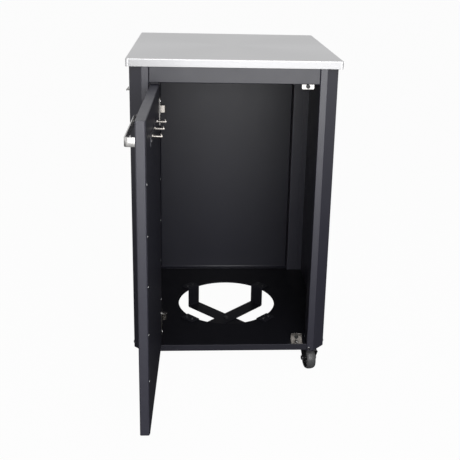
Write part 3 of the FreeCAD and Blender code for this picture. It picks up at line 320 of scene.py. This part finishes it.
COAT_COLOUR = (0.042, 0.0415, 0.060)
# The inside's coat colour is the cabinet coat darkened: painted shade for the cabinet's shadowed inside.
INNER_SHADED_COAT_COLOUR = (0.016, 0.016, 0.026)
FLOOR_WEAR_COLOUR = (0.08, 0.08, 0.085)
NICKEL_COLOUR = (0.40, 0.375, 0.35)
FINISHES = {
    "stainless_top": brushed_steel("stainless_top", (0.72, 0.72, 0.73), 0.32, TOP_APRON_SHADE),
    "hidden_steel": plated_metal("hidden_steel", (0.4, 0.4, 0.41), 0.4),
    "cabinet_coat": powder_coat("cabinet_coat", COAT_COLOUR),
    "inner_coat": powder_coat("inner_coat", INNER_SHADED_COAT_COLOUR, 0.42, 0.5),
    # The floor's coat colour is the cabinet coat darkened into painted shade for the shadowed floor inside the
    # cabinet.
    "floor_shaded_coat": powder_coat("floor_shaded_coat", (0.009, 0.009, 0.013), 0.5, 0.25, FLOOR_WEAR_COLOUR, FLOOR_LIT_LIP),
    # The front rail's coat is the cabinet coat darkened: painted shade that tones down the lamps' reflection on
    # the rail.
    "front_rail_shaded_coat": powder_coat("front_rail_shaded_coat", (0.030, 0.0298, 0.043), 0.38, 0.7),
    "door_coat": powder_coat("door_coat", COAT_COLOUR),
    "rail_coat": powder_coat("rail_coat", (0.03, 0.0295, 0.042), 0.38, 0.62),
    "strap_coat": powder_coat("strap_coat", (0.014, 0.014, 0.02), 0.45, 0.5),
    "catch_steel": plated_metal("catch_steel", (0.36, 0.35, 0.34), 0.2),
    # The floor catch's steel is the catch steel darkened: painted shade for the catch down in the cabinet's dark
    # floor.
    "floor_catch_shaded_steel": plated_metal("floor_catch_shaded_steel", (0.24, 0.23, 0.22), 0.3),
    "magnet_dark": moulded("magnet_dark", (0.02, 0.02, 0.02), 0.4),
    "hinge_nickel": plated_metal("hinge_nickel", NICKEL_COLOUR, 0.2),
    # The hinge plates' darker colour and rim share below 1 are painted shade that dims the light caught along the
    # plates' edges.
    "hinge_plate_shaded_rim": plated_metal("hinge_plate_shaded_rim", (0.3, 0.29, 0.28), rim=0.4, rim_radius=0.0016),
    "black_screw": plated_metal("black_screw", (0.2, 0.2, 0.21), 0.3),
    "bright_screw": plated_metal("bright_screw", (0.6, 0.6, 0.6)),
    "handle_metal": plated_metal("handle_metal", (0.72, 0.71, 0.7), 0.22),
    "hook_metal": plated_metal("hook_metal", NICKEL_COLOUR, 0.26),
    "side_hook_metal": plated_metal("side_hook_metal", (0.24, 0.235, 0.23), 0.35),
    "caster_black": powder_coat("caster_black", (0.02, 0.02, 0.022), 0.4),
    "caster_zinc": plated_metal("caster_zinc", (0.4, 0.4, 0.41), 0.35),
    "wheel_plastic": moulded("wheel_plastic", (0.02, 0.02, 0.021), 0.45),
    "tyre_rubber": moulded("tyre_rubber", (0.12, 0.12, 0.122), 0.33),
    "pedal_plastic": moulded("pedal_plastic", (0.03, 0.03, 0.03), 0.45),
}
OWN_FINISHES = {
    "floor_panel": "floor_shaded_coat",
    "front_top_rail": "front_rail_shaded_coat",
    "hinge_door_plates": "hinge_plate_shaded_rim",
    "bottom_catch_bracket": "floor_catch_shaded_steel",
}


def dress_nodes():
    """Every CAD node gets the finish of its material slot, or the one that it has for itself."""
    for part in frame["record"]["subparts"]:
        node = NODES[part["node"]]
        node.data.materials.clear()
        node.data.materials.append(FINISHES[OWN_FINISHES.get(part["node"], part["material_slot"])])


# Shapes, drawn in millimetres and carried into the frame's metres
MM = 0.001
UP = np.array([0, 0, 1.0])
MERGE_M = 1e-6
SHORTEST_M = 1e-7


def grid_quads(rows, columns, round_rows):
    """Quads between the neighbouring points of a grid whose columns run round, and whose rows may."""
    i, j = np.meshgrid(np.arange(rows if round_rows else rows - 1), np.arange(columns), indexing="ij")
    below = (i + 1) % rows
    beside = (j + 1) % columns
    corners = [i * columns + j, below * columns + j, below * columns + beside, i * columns + beside]
    return np.stack(corners, -1).reshape(-1, 4)


def turned(radius, height, steps=48):
    """A closed profile turned about the third axis: points at radius cos t, radius sin t and height."""
    radius, height = np.broadcast_arrays(np.asarray(radius, float), np.asarray(height, float))
    if radius.ndim == 1:
        radius, height = [np.repeat(values[:, None], steps, 1) for values in (radius, height)]
    t = np.linspace(0, 2 * math.pi, radius.shape[1], endpoint=False)[None, :]
    points = np.stack([radius * np.cos(t), radius * np.sin(t), height], -1)
    return points.reshape(-1, 3), grid_quads(len(radius), radius.shape[1], True), []


def slab(outline, thickness, bevel):
    """A closed outline given a thickness; near both faces each point moves in along its normal."""
    outline = np.asarray(outline, float)
    along = np.roll(outline, -1, 0) - np.roll(outline, 1, 0)
    outward = np.stack([along[:, 1], -along[:, 0]], 1)
    outward /= np.linalg.norm(outward, axis=1, keepdims=True) + 1e-12
    after = np.roll(outline, -1, 0)
    side = np.sign(np.sum(outline[:, 0] * after[:, 1] - after[:, 0] * outline[:, 1]))
    steps = [(0, 1.0), (0.3, 0.3), (1.0, 0)]
    levels = [(bevel * z, share) for z, share in steps]
    levels += [(thickness - bevel * z, share) for z, share in steps[::-1]]
    most = outward * side * bevel
    count = len(outline)
    rings = [np.column_stack([outline - most * share, np.full(count, z)]) for z, share in levels]
    last = count * (len(rings) - 1)
    ends = [list(range(count)), list(range(last, last + count))]
    return np.concatenate(rings), grid_quads(len(rings), count, False), ends


def rounded_outline(corners, radii, steps=5):
    """A closed outline with an arc at each corner, swung about its centre between its tangent points."""
    corners = np.asarray(corners, float)
    runs = []
    for before, here, after, radius in zip(np.roll(corners, 1, 0), corners, np.roll(corners, -1, 0), radii):
        a = (before - here) / np.linalg.norm(before - here)
        b = (after - here) / np.linalg.norm(after - here)
        half = math.acos(float(a @ b)) / 2
        centre = here + (a + b) / np.linalg.norm(a + b) * radius / math.sin(half)
        start = here + a * radius / math.tan(half) - centre
        end = here + b * radius / math.tan(half) - centre
        swing = math.pi - 2 * half
        t = np.linspace(0, 1, steps)[:, None]
        runs.append(centre + (np.sin((1 - t) * swing) * start + np.sin(t * swing) * end) / math.sin(swing))
    return np.concatenate(runs)


def carried(shape, origin, first, second, third):
    """A shape in millimetres carried onto three directions from an origin in metres."""
    points, quads, ends = shape
    return np.asarray(origin, float) + points @ np.array([first, second, third], float) * MM, quads, ends


def make_piece(name, shapes, finish, body, nodes=(), crease=35.0):
    """One mesh from several shapes: doubles merged, faces turned outwards, smooth up to the crease angle."""
    points, faces, start = [], [], 0
    for shape_points, quads, ends in shapes:
        points.append(shape_points)
        faces += (quads + start).tolist() + [[i + start for i in face] for face in ends]
        start += len(shape_points)
    mesh = bpy.data.meshes.new(name)
    mesh.from_pydata(np.concatenate(points).tolist(), [], faces)
    work = bmesh.new()
    work.from_mesh(mesh)
    bmesh.ops.remove_doubles(work, verts=work.verts, dist=MERGE_M)
    bmesh.ops.dissolve_degenerate(work, edges=work.edges, dist=SHORTEST_M)
    bmesh.ops.recalc_face_normals(work, faces=work.faces)
    work.to_mesh(mesh)
    work.free()
    mesh.polygons.foreach_set("use_smooth", np.ones(len(mesh.polygons), bool))
    mesh.set_sharp_from_angle(angle=math.radians(crease))
    mesh.materials.append(FINISHES[finish])
    piece = bpy.data.objects.new(name, mesh)
    bpy.context.scene.collection.objects.link(piece)
    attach(piece, body)
    if nodes:
        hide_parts(*nodes)


# Foot of the back panel, in millimetres from the panel's middle, front face and lower edge
FOOT_HALF = 236.5
BACK_FOOT = 10.0
FOOT_DEPTH = 10.3
FOOT_T = 1.9
FOOT_BEND_R = 6.2
FOOT_PROUD = 0.3
FOOT_SUNK = 1.0


def make_back_foot():
    """The bend between the back panel and its foot: a hollow quarter circle between two flats, run across."""
    t = np.linspace(-math.pi / 2, 0, 10)
    depth = FOOT_BEND_R * (np.cos(t) - 1) - FOOT_PROUD
    hollow = np.column_stack([depth, FOOT_T + FOOT_BEND_R * (1 + np.sin(t))])
    flat = [(FOOT_SUNK, 0), (-FOOT_DEPTH, 0), (-FOOT_DEPTH, FOOT_T)]
    outline = np.concatenate([flat, hollow, [(FOOT_SUNK, FOOT_T + FOOT_BEND_R)]])
    low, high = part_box("back_panel")
    points, quads, ends = slab(outline, 2 * FOOT_HALF, bevel=0.2)
    origin = ((low[0] + high[0]) / 2, low[1] + BACK_FOOT * MM, low[2])
    shape = (points[:, [2, 0, 1]] - [FOOT_HALF, 0, 0], quads, ends)
    bend = carried(shape, origin, *np.eye(3))
    make_piece("back_panel_bend", [bend], "inner_coat", "cart_frame", crease=50.0)


# Casters, in millimetres from the swivel's axis on the ground: axle way, trailing way, up
WHEEL_R = 35.5
TREAD_HALF = 14.0
TREAD_INSET = 0.1
TREAD_FALL = 4.2
TREAD_POWER = 3.2
MOULD_LINE_RISE = 0.12
MOULD_LINE_WIDTH = 0.3
TYRE_SHOULDER = 0.9
TYRE_SHOULDER_IN = 0.5
TYRE_BEAD_IN = 1.4
RIM_R = 28.5
HUB_BORE = 4.05
RIB_RISE = 6.0
RIB_WIDTH = 1.3
FORK_HALF = 16.0
FORK_T = 3.0
CROWN_Z = 74.0
CROWN_BEND_R = 5.0
TRAIL = 16.0
EYE_R = 9.0
PIN_Y = 46.5
PIN_Z = 62.9
PIN_BOSS = 6.0
FORK_BEVEL = 0.7
PEDAL_HALF = 15.0
PEDAL_EYE_R = 4.5
PEDAL_GRIP_RISE = 0.7


def tyre_shape():
    """The tread's radius falls with a power of the distance from its middle, where a mould line stands."""
    h = np.linspace(-TREAD_HALF, TREAD_HALF, 45)
    fall = TREAD_FALL * np.abs(h / TREAD_HALF) ** TREAD_POWER
    tread = WHEEL_R - TREAD_INSET - fall + MOULD_LINE_RISE * np.exp(-(h / MOULD_LINE_WIDTH) ** 2)
    wall = np.array([RIM_R, RIM_R + TYRE_SHOULDER])
    side = np.array([TREAD_HALF - TYRE_BEAD_IN, TREAD_HALF - TYRE_SHOULDER_IN])
    radius = np.concatenate([wall, tread, wall[::-1]])
    height = np.concatenate([-side, h, side[::-1]])
    return turned(radius, height, steps=80)


def wheel_centre_shape():
    """Hub, web and rim by radius; six ribs rise from the web by a bell curve of the distance across each."""
    steps = 120
    half_ribs = 3
    rows = [HUB_BORE, 7.4, 8.2, 8.8, 9.3, 10.2, 12, 14, 16, 18, 20, 22, 23.4, 24.2, 24.8, 27.9, RIM_R]
    r = np.array(rows)[:, None]
    t = np.linspace(0, 2 * math.pi, steps, endpoint=False)[None, :]
    face = np.interp(r, [7.4, 8.8, 9.4, 23.4, 24.6, 27.9, RIM_R], [14.8, 14.2, 4.4, 4.0, 12.4, 12.4, 11.8])
    across = r * np.sin((t * half_ribs) % math.pi) / half_ribs
    on_web = (r > 9.4) & (r < 24.0)
    height = face + RIB_RISE * np.exp(-(across / RIB_WIDTH) ** 4) * on_web
    radius = np.repeat(r, steps, 1)
    return turned(np.concatenate([radius, radius[::-1]]), np.concatenate([height, -height[::-1]]))


def fork_shape(braked):
    """A pressed strip goes up, across and down; at each height its two edges follow the cheek's outline."""
    arc = np.linspace(0, math.pi / 2, 8)
    rise = np.concatenate([WHEEL_R - EYE_R * np.cos(arc), np.linspace(38, CROWN_Z - CROWN_BEND_R, 26)])
    bend_across = -FORK_HALF + CROWN_BEND_R * (1 - np.cos(arc))
    bend_up = CROWN_Z - CROWN_BEND_R * (1 - np.sin(arc))
    cheek = np.column_stack([np.full(len(rise), -FORK_HALF), rise])
    left = np.concatenate([cheek, np.column_stack([bend_across, bend_up])[1:]])
    line = np.concatenate([left, left[::-1] * [-1, 1]])
    outward = np.stack([-np.gradient(line[:, 1]), np.gradient(line[:, 0])], 1)
    outward /= np.linalg.norm(outward, axis=1, keepdims=True)
    z = line[:, 1]
    fine = np.linspace(WHEEL_R, CROWN_Z, 80)
    nose = (PIN_Y + PIN_BOSS, PIN_Y + PIN_BOSS, 27.0) if braked else (24.0, 23.0, 23.0)
    far_edge = np.interp(fine, [WHEEL_R, PIN_Z - 6, PIN_Z + 4, CROWN_Z], [TRAIL + EYE_R, *nose])
    near_edge = np.interp(fine, [WHEEL_R, 69, CROWN_Z], [TRAIL - EYE_R, -15.0, -16.0])
    reach = 6
    soften = np.ones(2 * reach + 1) / (2 * reach + 1)
    far_edge, near_edge = [
        np.convolve(np.pad(edge, reach, mode="edge"), soften, "valid") for edge in (far_edge, near_edge)
    ]
    least_square = 0.04
    eye = np.sqrt(np.clip(EYE_R ** 2 - (WHEEL_R - z) ** 2, least_square, None))
    near = np.where(z < WHEEL_R, TRAIL - eye, np.interp(z, fine, near_edge))
    far = np.where(z < WHEEL_R, TRAIL + eye, np.interp(z, fine, far_edge))
    bevel = np.minimum(FORK_BEVEL, (far - near) * 0.3)
    none = np.zeros(len(line))
    full = none + FORK_T
    out = np.stack([none, bevel, FORK_T - bevel, full, full, FORK_T - bevel, bevel, none], 1)
    edge = np.stack([near + bevel, near, near, near + bevel, far - bevel, far, far, far - bevel], 1)
    section = line[:, None, :] + out[..., None] * outward[:, None, :]
    points = np.stack([section[..., 0], edge, section[..., 1]], -1).reshape(-1, 3)
    sides = out.shape[1]
    last = (len(line) - 1) * sides
    ends = [list(range(sides)), list(range(last, last + sides))]
    return points, grid_quads(len(line), sides, False), ends


def race_shape():
    """The swivel's lower race: a low ring with a rolled rim."""
    return turned([5.2, 10.6, 12.4, 13.3, 13.5, 13.5, 5.2], [80.4, 80.4, 80.0, 79.2, 78.2, 76.9, 76.9])


def pedal_shape():
    """Side view of the brake lever: an eye, a flat and a turned-up toe, with grip ribs as sine arches."""
    t = np.linspace(math.radians(95), math.radians(350), 22)
    eye = np.column_stack([PEDAL_EYE_R * np.cos(t), PEDAL_EYE_R * np.sin(t)])
    under = [(4.6, 1.4), (24.0, 1.4)]
    toe = [(27.6, 2.4), (30.4, 5.4), (30.2, 7.6), (28.0, 7.9), (26.2, 5.2)]
    grip_from, grip_length, arches = 4, 20, 5
    y = np.linspace(24.5, 1.0, 48)
    waves = np.sin((y - grip_from) / grip_length * arches * math.pi)
    ribs = np.maximum(0, waves) * ((y > 8) & (y < 24))
    top = np.column_stack([y, PEDAL_EYE_R + PEDAL_GRIP_RISE * ribs])
    outline = np.concatenate([eye, under, toe, top])
    points, quads, ends = slab(outline, 2 * PEDAL_HALF, bevel=0.6)
    return points[:, [2, 0, 1]] + [-PEDAL_HALF, PIN_Y, PIN_Z], quads, ends


def make_casters():
    """Forks, races, wheels, tyres and brake levers, each along its own swivel's and axle's directions."""
    for corner in ("front_left", "front_right", "rear_left", "rear_right"):
        caster = "caster_" + corner
        wheel_body = caster + "_roller"
        fork_body = caster + "_swivel"
        braked = corner.startswith("front")
        swivel = np.array(JOINTS[caster + "_turn"]["pos_m"], float) * [1, 1, 0] + UP * GROUND_Z
        hub = JOINTS[caster + "_roll"]["pos_m"]
        axle = np.array(JOINTS[caster + "_roll"]["axis"], float)
        trailing = np.cross(UP, axle)
        spin = (trailing, UP, axle)
        yoke = (axle, trailing, UP)
        tyre = carried(tyre_shape(), hub, *spin)
        make_piece(caster + "_tread", [tyre], "tyre_rubber", wheel_body, [caster + "_tyre"])
        centre = carried(wheel_centre_shape(), hub, *spin)
        make_piece(caster + "_ribbed_centre", [centre], "wheel_plastic", wheel_body, [caster + "_wheel"])
        fork = carried(fork_shape(braked), swivel, *yoke)
        make_piece(caster + "_pressed_fork", [fork], "caster_black", fork_body, [caster + "_fork"])
        make_piece(caster + "_race", [carried(race_shape(), swivel, *yoke)], "caster_zinc", fork_body)
        if braked:
            pedal = carried(pedal_shape(), swivel, *yoke)
            lever = caster + "_brake_pedal"
            make_piece(caster + "_ribbed_pedal", [pedal], "pedal_plastic", caster + "_pedal", [lever])


# Door fittings, in millimetres from the hinge pins' line: across the door, inwards, up
DOOR_OPEN = math.radians(-91.0)
DOOR_ACROSS = np.array([math.cos(DOOR_OPEN), math.sin(DOOR_OPEN), 0])
DOOR_INWARD = np.array([-math.sin(DOOR_OPEN), math.cos(DOOR_OPEN), 0])
DOOR_MIDDLE = 227.5
DOOR_FACE = -5.0
HOOK_BASE = 21.5
DOOR_TOP_Z = 903.5
HANDLE_Z = DOOR_TOP_Z - 76.0
HANDLE_HALF = 127.5
HANDLE_REACH = 37.0
HANDLE_BAR_T = 4.0
HANDLE_LEG_T = 8.0
HANDLE_HEIGHT = 23.0
HANDLE_BEND_R = 9.0
HOOK_Z = DOOR_TOP_Z - 70.0
HOOK_RAIL_Z = DOOR_TOP_Z - 78.0
HOOK_PITCH = 80.0
HOOK_WIDTH = 14.0
HOOK_T = 3.0
HOOK_REACH = 27.0
HOOK_TIP = 11.0
HOOK_TIP_SHARE = 0.66
HOOK_HEEL = 5.2
HOOK_STEM = 3.0


def handle_shape():
    """The handle seen from above, a flat bar between two legs, given its height."""
    front = DOOR_FACE - HANDLE_REACH
    back = front + HANDLE_BAR_T
    inner = HANDLE_BEND_R - HANDLE_BAR_T
    x0, x1 = DOOR_MIDDLE - HANDLE_HALF, DOOR_MIDDLE + HANDLE_HALF
    corners = [
        (x0, front), (x1, front), (x1, DOOR_FACE), (x1 - HANDLE_LEG_T, DOOR_FACE),
        (x1 - HANDLE_LEG_T, back), (x0 + HANDLE_LEG_T, back), (x0 + HANDLE_LEG_T, DOOR_FACE), (x0, DOOR_FACE),
    ]
    radii = [HANDLE_BEND_R, HANDLE_BEND_R, 1, 1, inner, inner, 1, 1]
    outline = rounded_outline(corners, radii, steps=9)
    points, quads, ends = slab(outline, HANDLE_HEIGHT, bevel=0.8)
    return points + [0, 0, HANDLE_Z - HANDLE_HEIGHT / 2], quads, ends


def hook_shape(middle):
    """Side view of a strip hook: a stem, an arm and a tip that leans back over it and ends in a point."""
    along = np.array([-0.5, 0.866])
    across = np.array([-0.866, -0.5])
    root = np.array([HOOK_REACH, -HOOK_T])
    point = root + along * HOOK_TIP
    barb = root + along * HOOK_TIP * HOOK_TIP_SHARE + across * HOOK_T
    heel = root + across * HOOK_T + along * HOOK_HEEL
    stem = [(HOOK_T, 0), (HOOK_T, HOOK_STEM), (0, HOOK_STEM)]
    corners = [(0, -HOOK_T), root, point, barb, heel, *stem]
    outline = rounded_outline(corners, [0.9, 1.8, 0.45, 0.6, 0.6, 0.9, 0.6, 0.6])
    points, quads, ends = slab(outline, HOOK_WIDTH, bevel=0.4)
    place = [middle - HOOK_WIDTH / 2, HOOK_BASE, HOOK_Z]
    return points[:, [2, 0, 1]] + place, quads, ends


def make_door_fittings():
    """The handle and the three hooks, which ride on the door."""
    pins = np.array(JOINTS["door_swing"]["pos_m"], float) * [1, 1, 0] + UP * GROUND_Z
    ways = (DOOR_ACROSS, DOOR_INWARD, UP)
    make_piece("handle_bar", [carried(handle_shape(), pins, *ways)], "handle_metal", "door", ["handle"])
    hooks = [carried(hook_shape(DOOR_MIDDLE + step * HOOK_PITCH), pins, *ways) for step in (-1, 0, 1)]
    make_piece("pointed_hooks", hooks, "hook_metal", "door", ["door_hooks"])


# Screw heads
SCREW_HEAD_R = 4.6
SCREW_HEAD_H = 2.4
SCREW_HEAD_SUNK = 0.05
RECESS_HALF = 0.13
RECESS_REACH = 0.5
HOOK_RAIL_REACH = 10.0


def solids_of(node):
    """Each solid's points: the lowest label spreads along the edges until every solid has only one."""
    mesh = NODES[node].data
    points = np.empty(len(mesh.vertices) * 3)
    mesh.vertices.foreach_get("co", points)
    unique, index = np.unique(np.round(points.reshape(-1, 3), 6), axis=0, return_inverse=True)
    edges = np.empty(len(mesh.edges) * 2, np.int32)
    mesh.edges.foreach_get("vertices", edges)
    a, b = index.ravel()[edges.reshape(-1, 2)].T
    label = np.arange(len(unique))
    spread = True
    while spread:
        low = np.minimum(label[a], label[b])
        new = label.copy()
        np.minimum.at(new, a, low)
        np.minimum.at(new, b, low)
        spread = (new != label).any()
        label = new
    return [unique[label == one] for one in np.unique(label)]


def screw_place(points):
    """Top of a screw's head and the way it faces, along the odd one of three spreads to the wide end."""
    middle = points.mean(0)
    spread, ways = np.linalg.eigh(np.cov((points - middle).T))
    axis = ways[:, 0] if spread[1] - spread[0] > spread[2] - spread[1] else ways[:, 2]
    along = (points - middle) @ axis
    out = np.linalg.norm(points - middle - along[:, None] * axis, axis=1)
    rim = out > out.max() * 0.9
    if along[rim].mean() < (along.max() + along.min()) / 2:
        axis, along = -axis, -along
    return middle + axis * along.max(), axis


def screw_head_shape():
    """A pan head: its height falls with the fourth power of the radius, less a cross-shaped recess."""
    steps = 48
    rows = [0.02, 0.1, 0.16, 0.22, 0.3, 0.38, 0.46, 0.52, 0.58, 0.7, 0.82, 0.92, 0.98, 1.0]
    share = np.array(rows)[:, None]
    t = np.linspace(0, 2 * math.pi, steps, endpoint=False)[None, :] + math.pi / steps
    x, y = share * np.cos(t), share * np.sin(t)
    small, large = np.minimum(np.abs(x), np.abs(y)), np.maximum(np.abs(x), np.abs(y))
    arm = (small < RECESS_HALF) & (large < RECESS_REACH)
    dome = SCREW_HEAD_H * (1 - 0.6 * share ** 4 - 0.5 * arm)
    radius = np.concatenate([share, [[1.0], [0.02]]]) * SCREW_HEAD_R
    height = np.concatenate([dome, np.full((2, steps), -SCREW_HEAD_SUNK)])
    return turned(np.repeat(radius, steps, 1), height)


def make_screw_heads():
    """Recessed heads in place of the plain ones, each on its own screw's axis."""
    head = screw_head_shape()
    off_axis = [0.36, 0.48, 0.8]
    for node, finish, body in (
        ("strap_screws", "black_screw", "cart_frame"),
        ("outside_screws", "black_screw", "cart_frame"),
        ("bracket_screws", "bright_screw", "cart_frame"),
        ("door_plate_screws", "bright_screw", "door"),
    ):
        heads, dark = [], []
        for points in solids_of(node):
            top, axis = screw_place(points)
            first = np.cross(axis, off_axis)
            first /= np.linalg.norm(first)
            placed = carried(head, top - axis * SCREW_HEAD_H * MM, first, np.cross(axis, first), axis)
            above_rail = top[2] - GROUND_Z - HOOK_RAIL_Z * MM
            on_rail = body == "door" and abs(above_rail) < HOOK_RAIL_REACH * MM
            (dark if on_rail else heads).append(placed)
        make_piece(node + "_recessed", heads, finish, body, [node])
        if dark:
            make_piece("hook_rail_screws", dark, "black_screw", body)


# Stage and light, in metres: floor and sky glow in reflections, but near the cart the floor shows painted shade in
# reflections
FLOOR_HALF = 30.0
FLOOR_DROP = 0.0005
FLOOR_GREY = (0.12, 0.12, 0.12, 1)
FLOOR_WHITE = (0.95, 0.95, 0.95, 1)
FLOOR_GLOW_SEEN = 0.97
FLOOR_GLOW_MIRRORED = 0.75
FLOOR_DARK_NEAR = 0.4
FLOOR_BRIGHT_FROM = 2.8
FLOOR_SIDE_SCALE = 0.3
SKY_GLOW = 0.84
SKY_LIGHT = {"From Min": -0.1, "From Max": 0.6, "To Min": 0.01, "To Max": 0.03}


def mixed(tree, mask, first, second):
    """One shader where the mask is 0 and another where it is 1."""
    node = tree.nodes.new("ShaderNodeMixShader")
    tree.links.new(mask, node.inputs[0])
    tree.links.new(first.outputs[0], node.inputs[1])
    tree.links.new(second.outputs[0], node.inputs[2])
    return node


def make_floor():
    """A wide plane at the wheels' lowest point, white to the camera and grey to scattered light."""
    half = FLOOR_HALF
    corners = [(-half, -half), (half, -half), (half, half), (-half, half)]
    mesh = bpy.data.meshes.new("studio_floor")
    mesh.from_pydata([(x, y, GROUND_Z - FLOOR_DROP) for x, y in corners], [], [(0, 1, 2, 3)])
    floor = bpy.data.objects.new("studio_floor", mesh)
    bpy.context.scene.collection.objects.link(floor)
    n = Nodes("studio_floor")
    n.set(Roughness=0.9, Specular_IOR_Level=0.0)
    rays = n.add("ShaderNodeLightPath")
    tone = n.add("ShaderNodeMix", data_type="RGBA")
    tone.inputs[MIX_FIRST].default_value = FLOOR_GREY
    tone.inputs[MIX_SECOND].default_value = FLOOR_WHITE
    n.link(rays.outputs["Is Camera Ray"], tone.inputs[0])
    n.link(tone.outputs[MIX_RESULT], n.shader.inputs["Base Color"])
    glow = n.add("ShaderNodeEmission", Strength=1.0)
    length = n.add("ShaderNodeVectorMath", operation="LENGTH")
    n.link(n.place(scale=(FLOOR_SIDE_SCALE, 1, 1)), length.inputs[0])
    # In reflections the floor's glow fades to nothing near the cart: painted shade where the floor lies near the
    # cart.
    far = n.span(length.outputs["Value"], 0.0, FLOOR_GLOW_MIRRORED, FLOOR_DARK_NEAR, FLOOR_BRIGHT_FROM)
    most = n.add("ShaderNodeMath", operation="MAXIMUM")
    n.link(n.scaled(rays.outputs["Is Camera Ray"], FLOOR_GLOW_SEEN), most.inputs[0])
    n.link(n.product(rays.outputs["Is Glossy Ray"], far), most.inputs[1])
    surface = mixed(n.tree, most.outputs[0], n.shader, glow)
    n.link(surface.outputs[0], n.tree.nodes["Material Output"].inputs["Surface"])
    mesh.materials.append(n.material)


def make_world():
    """White to the camera, pale to reflections and weak to scattered light."""
    world = bpy.data.worlds.new("studio_world")
    bpy.context.scene.world = world
    world.use_nodes = True
    tree = world.node_tree
    tree.nodes.clear()
    coords = tree.nodes.new("ShaderNodeTexCoord")
    split = tree.nodes.new("ShaderNodeSeparateXYZ")
    tree.links.new(coords.outputs["Generated"], split.inputs[0])
    rays = tree.nodes.new("ShaderNodeLightPath")
    ramp = tree.nodes.new("ShaderNodeMapRange")
    for name, value in SKY_LIGHT.items():
        ramp.inputs[name].default_value = value
    tree.links.new(split.outputs["Z"], ramp.inputs["Value"])
    weak = tree.nodes.new("ShaderNodeBackground")
    tree.links.new(ramp.outputs["Result"], weak.inputs["Strength"])
    pale = tree.nodes.new("ShaderNodeBackground")
    pale.inputs["Strength"].default_value = SKY_GLOW
    white = tree.nodes.new("ShaderNodeBackground")
    white.inputs["Color"].default_value = (1, 1, 1, 1)
    gloss = mixed(tree, rays.outputs["Is Glossy Ray"], weak, pale)
    seen = mixed(tree, rays.outputs["Is Camera Ray"], gloss, white)
    out = tree.nodes.new("ShaderNodeOutputWorld")
    tree.links.new(seen.outputs[0], out.inputs["Surface"])


def softbox(name, place, aim, size, radiance, spread=180.0):
    """A rectangular lamp at place, aimed at a point, both from the cabinet's middle, front and ground."""
    watts_per_radiance = math.pi * 4
    data = bpy.data.lights.new(name, "AREA")
    data.shape = "RECTANGLE"
    data.size, data.size_y = size
    data.spread = math.radians(spread)
    data.energy = radiance * watts_per_radiance * size[0] * size[1]
    lamp = bpy.data.objects.new(name, data)
    bpy.context.scene.collection.objects.link(lamp)
    base = Vector((MID_X, FRONT_Y, GROUND_Z))
    lamp.location = base + Vector(place)
    lamp.rotation_euler = (Vector(aim) - Vector(place)).to_track_quat("-Z", "Y").to_euler()


def make_lamps():
    """Three wide boxes in front, one over the other, and weak ones above and at the left."""
    wide = (2.0, 0.8)
    softbox("low_box", (0.35, -2.6, 0.5), (0.05, 0, 0.5), wide, radiance=0.36, spread=120)
    softbox("key_box", (0.35, -2.6, 1.3), (0.05, 0, 0.6), wide, radiance=0.5, spread=120)
    softbox("high_box", (0.35, -2.3, 2.2), (0.05, 0, 0.6), wide, radiance=0.54, spread=140)
    softbox("top_box", (0, 0.2, 3.2), (0, 0.3, 0.9), (2.0, 1.6), radiance=0.24)
    softbox("left_box", (-2.4, -1.4, 1.1), (0, 0, 0.6), (1.2, 1.4), radiance=0.06)


make_camera()
dress_nodes()
make_back_foot()
make_casters()
make_door_fittings()
make_screw_heads()
make_floor()
make_world()
make_lamps()
bpy.context.scene.view_settings.view_transform = "Standard"
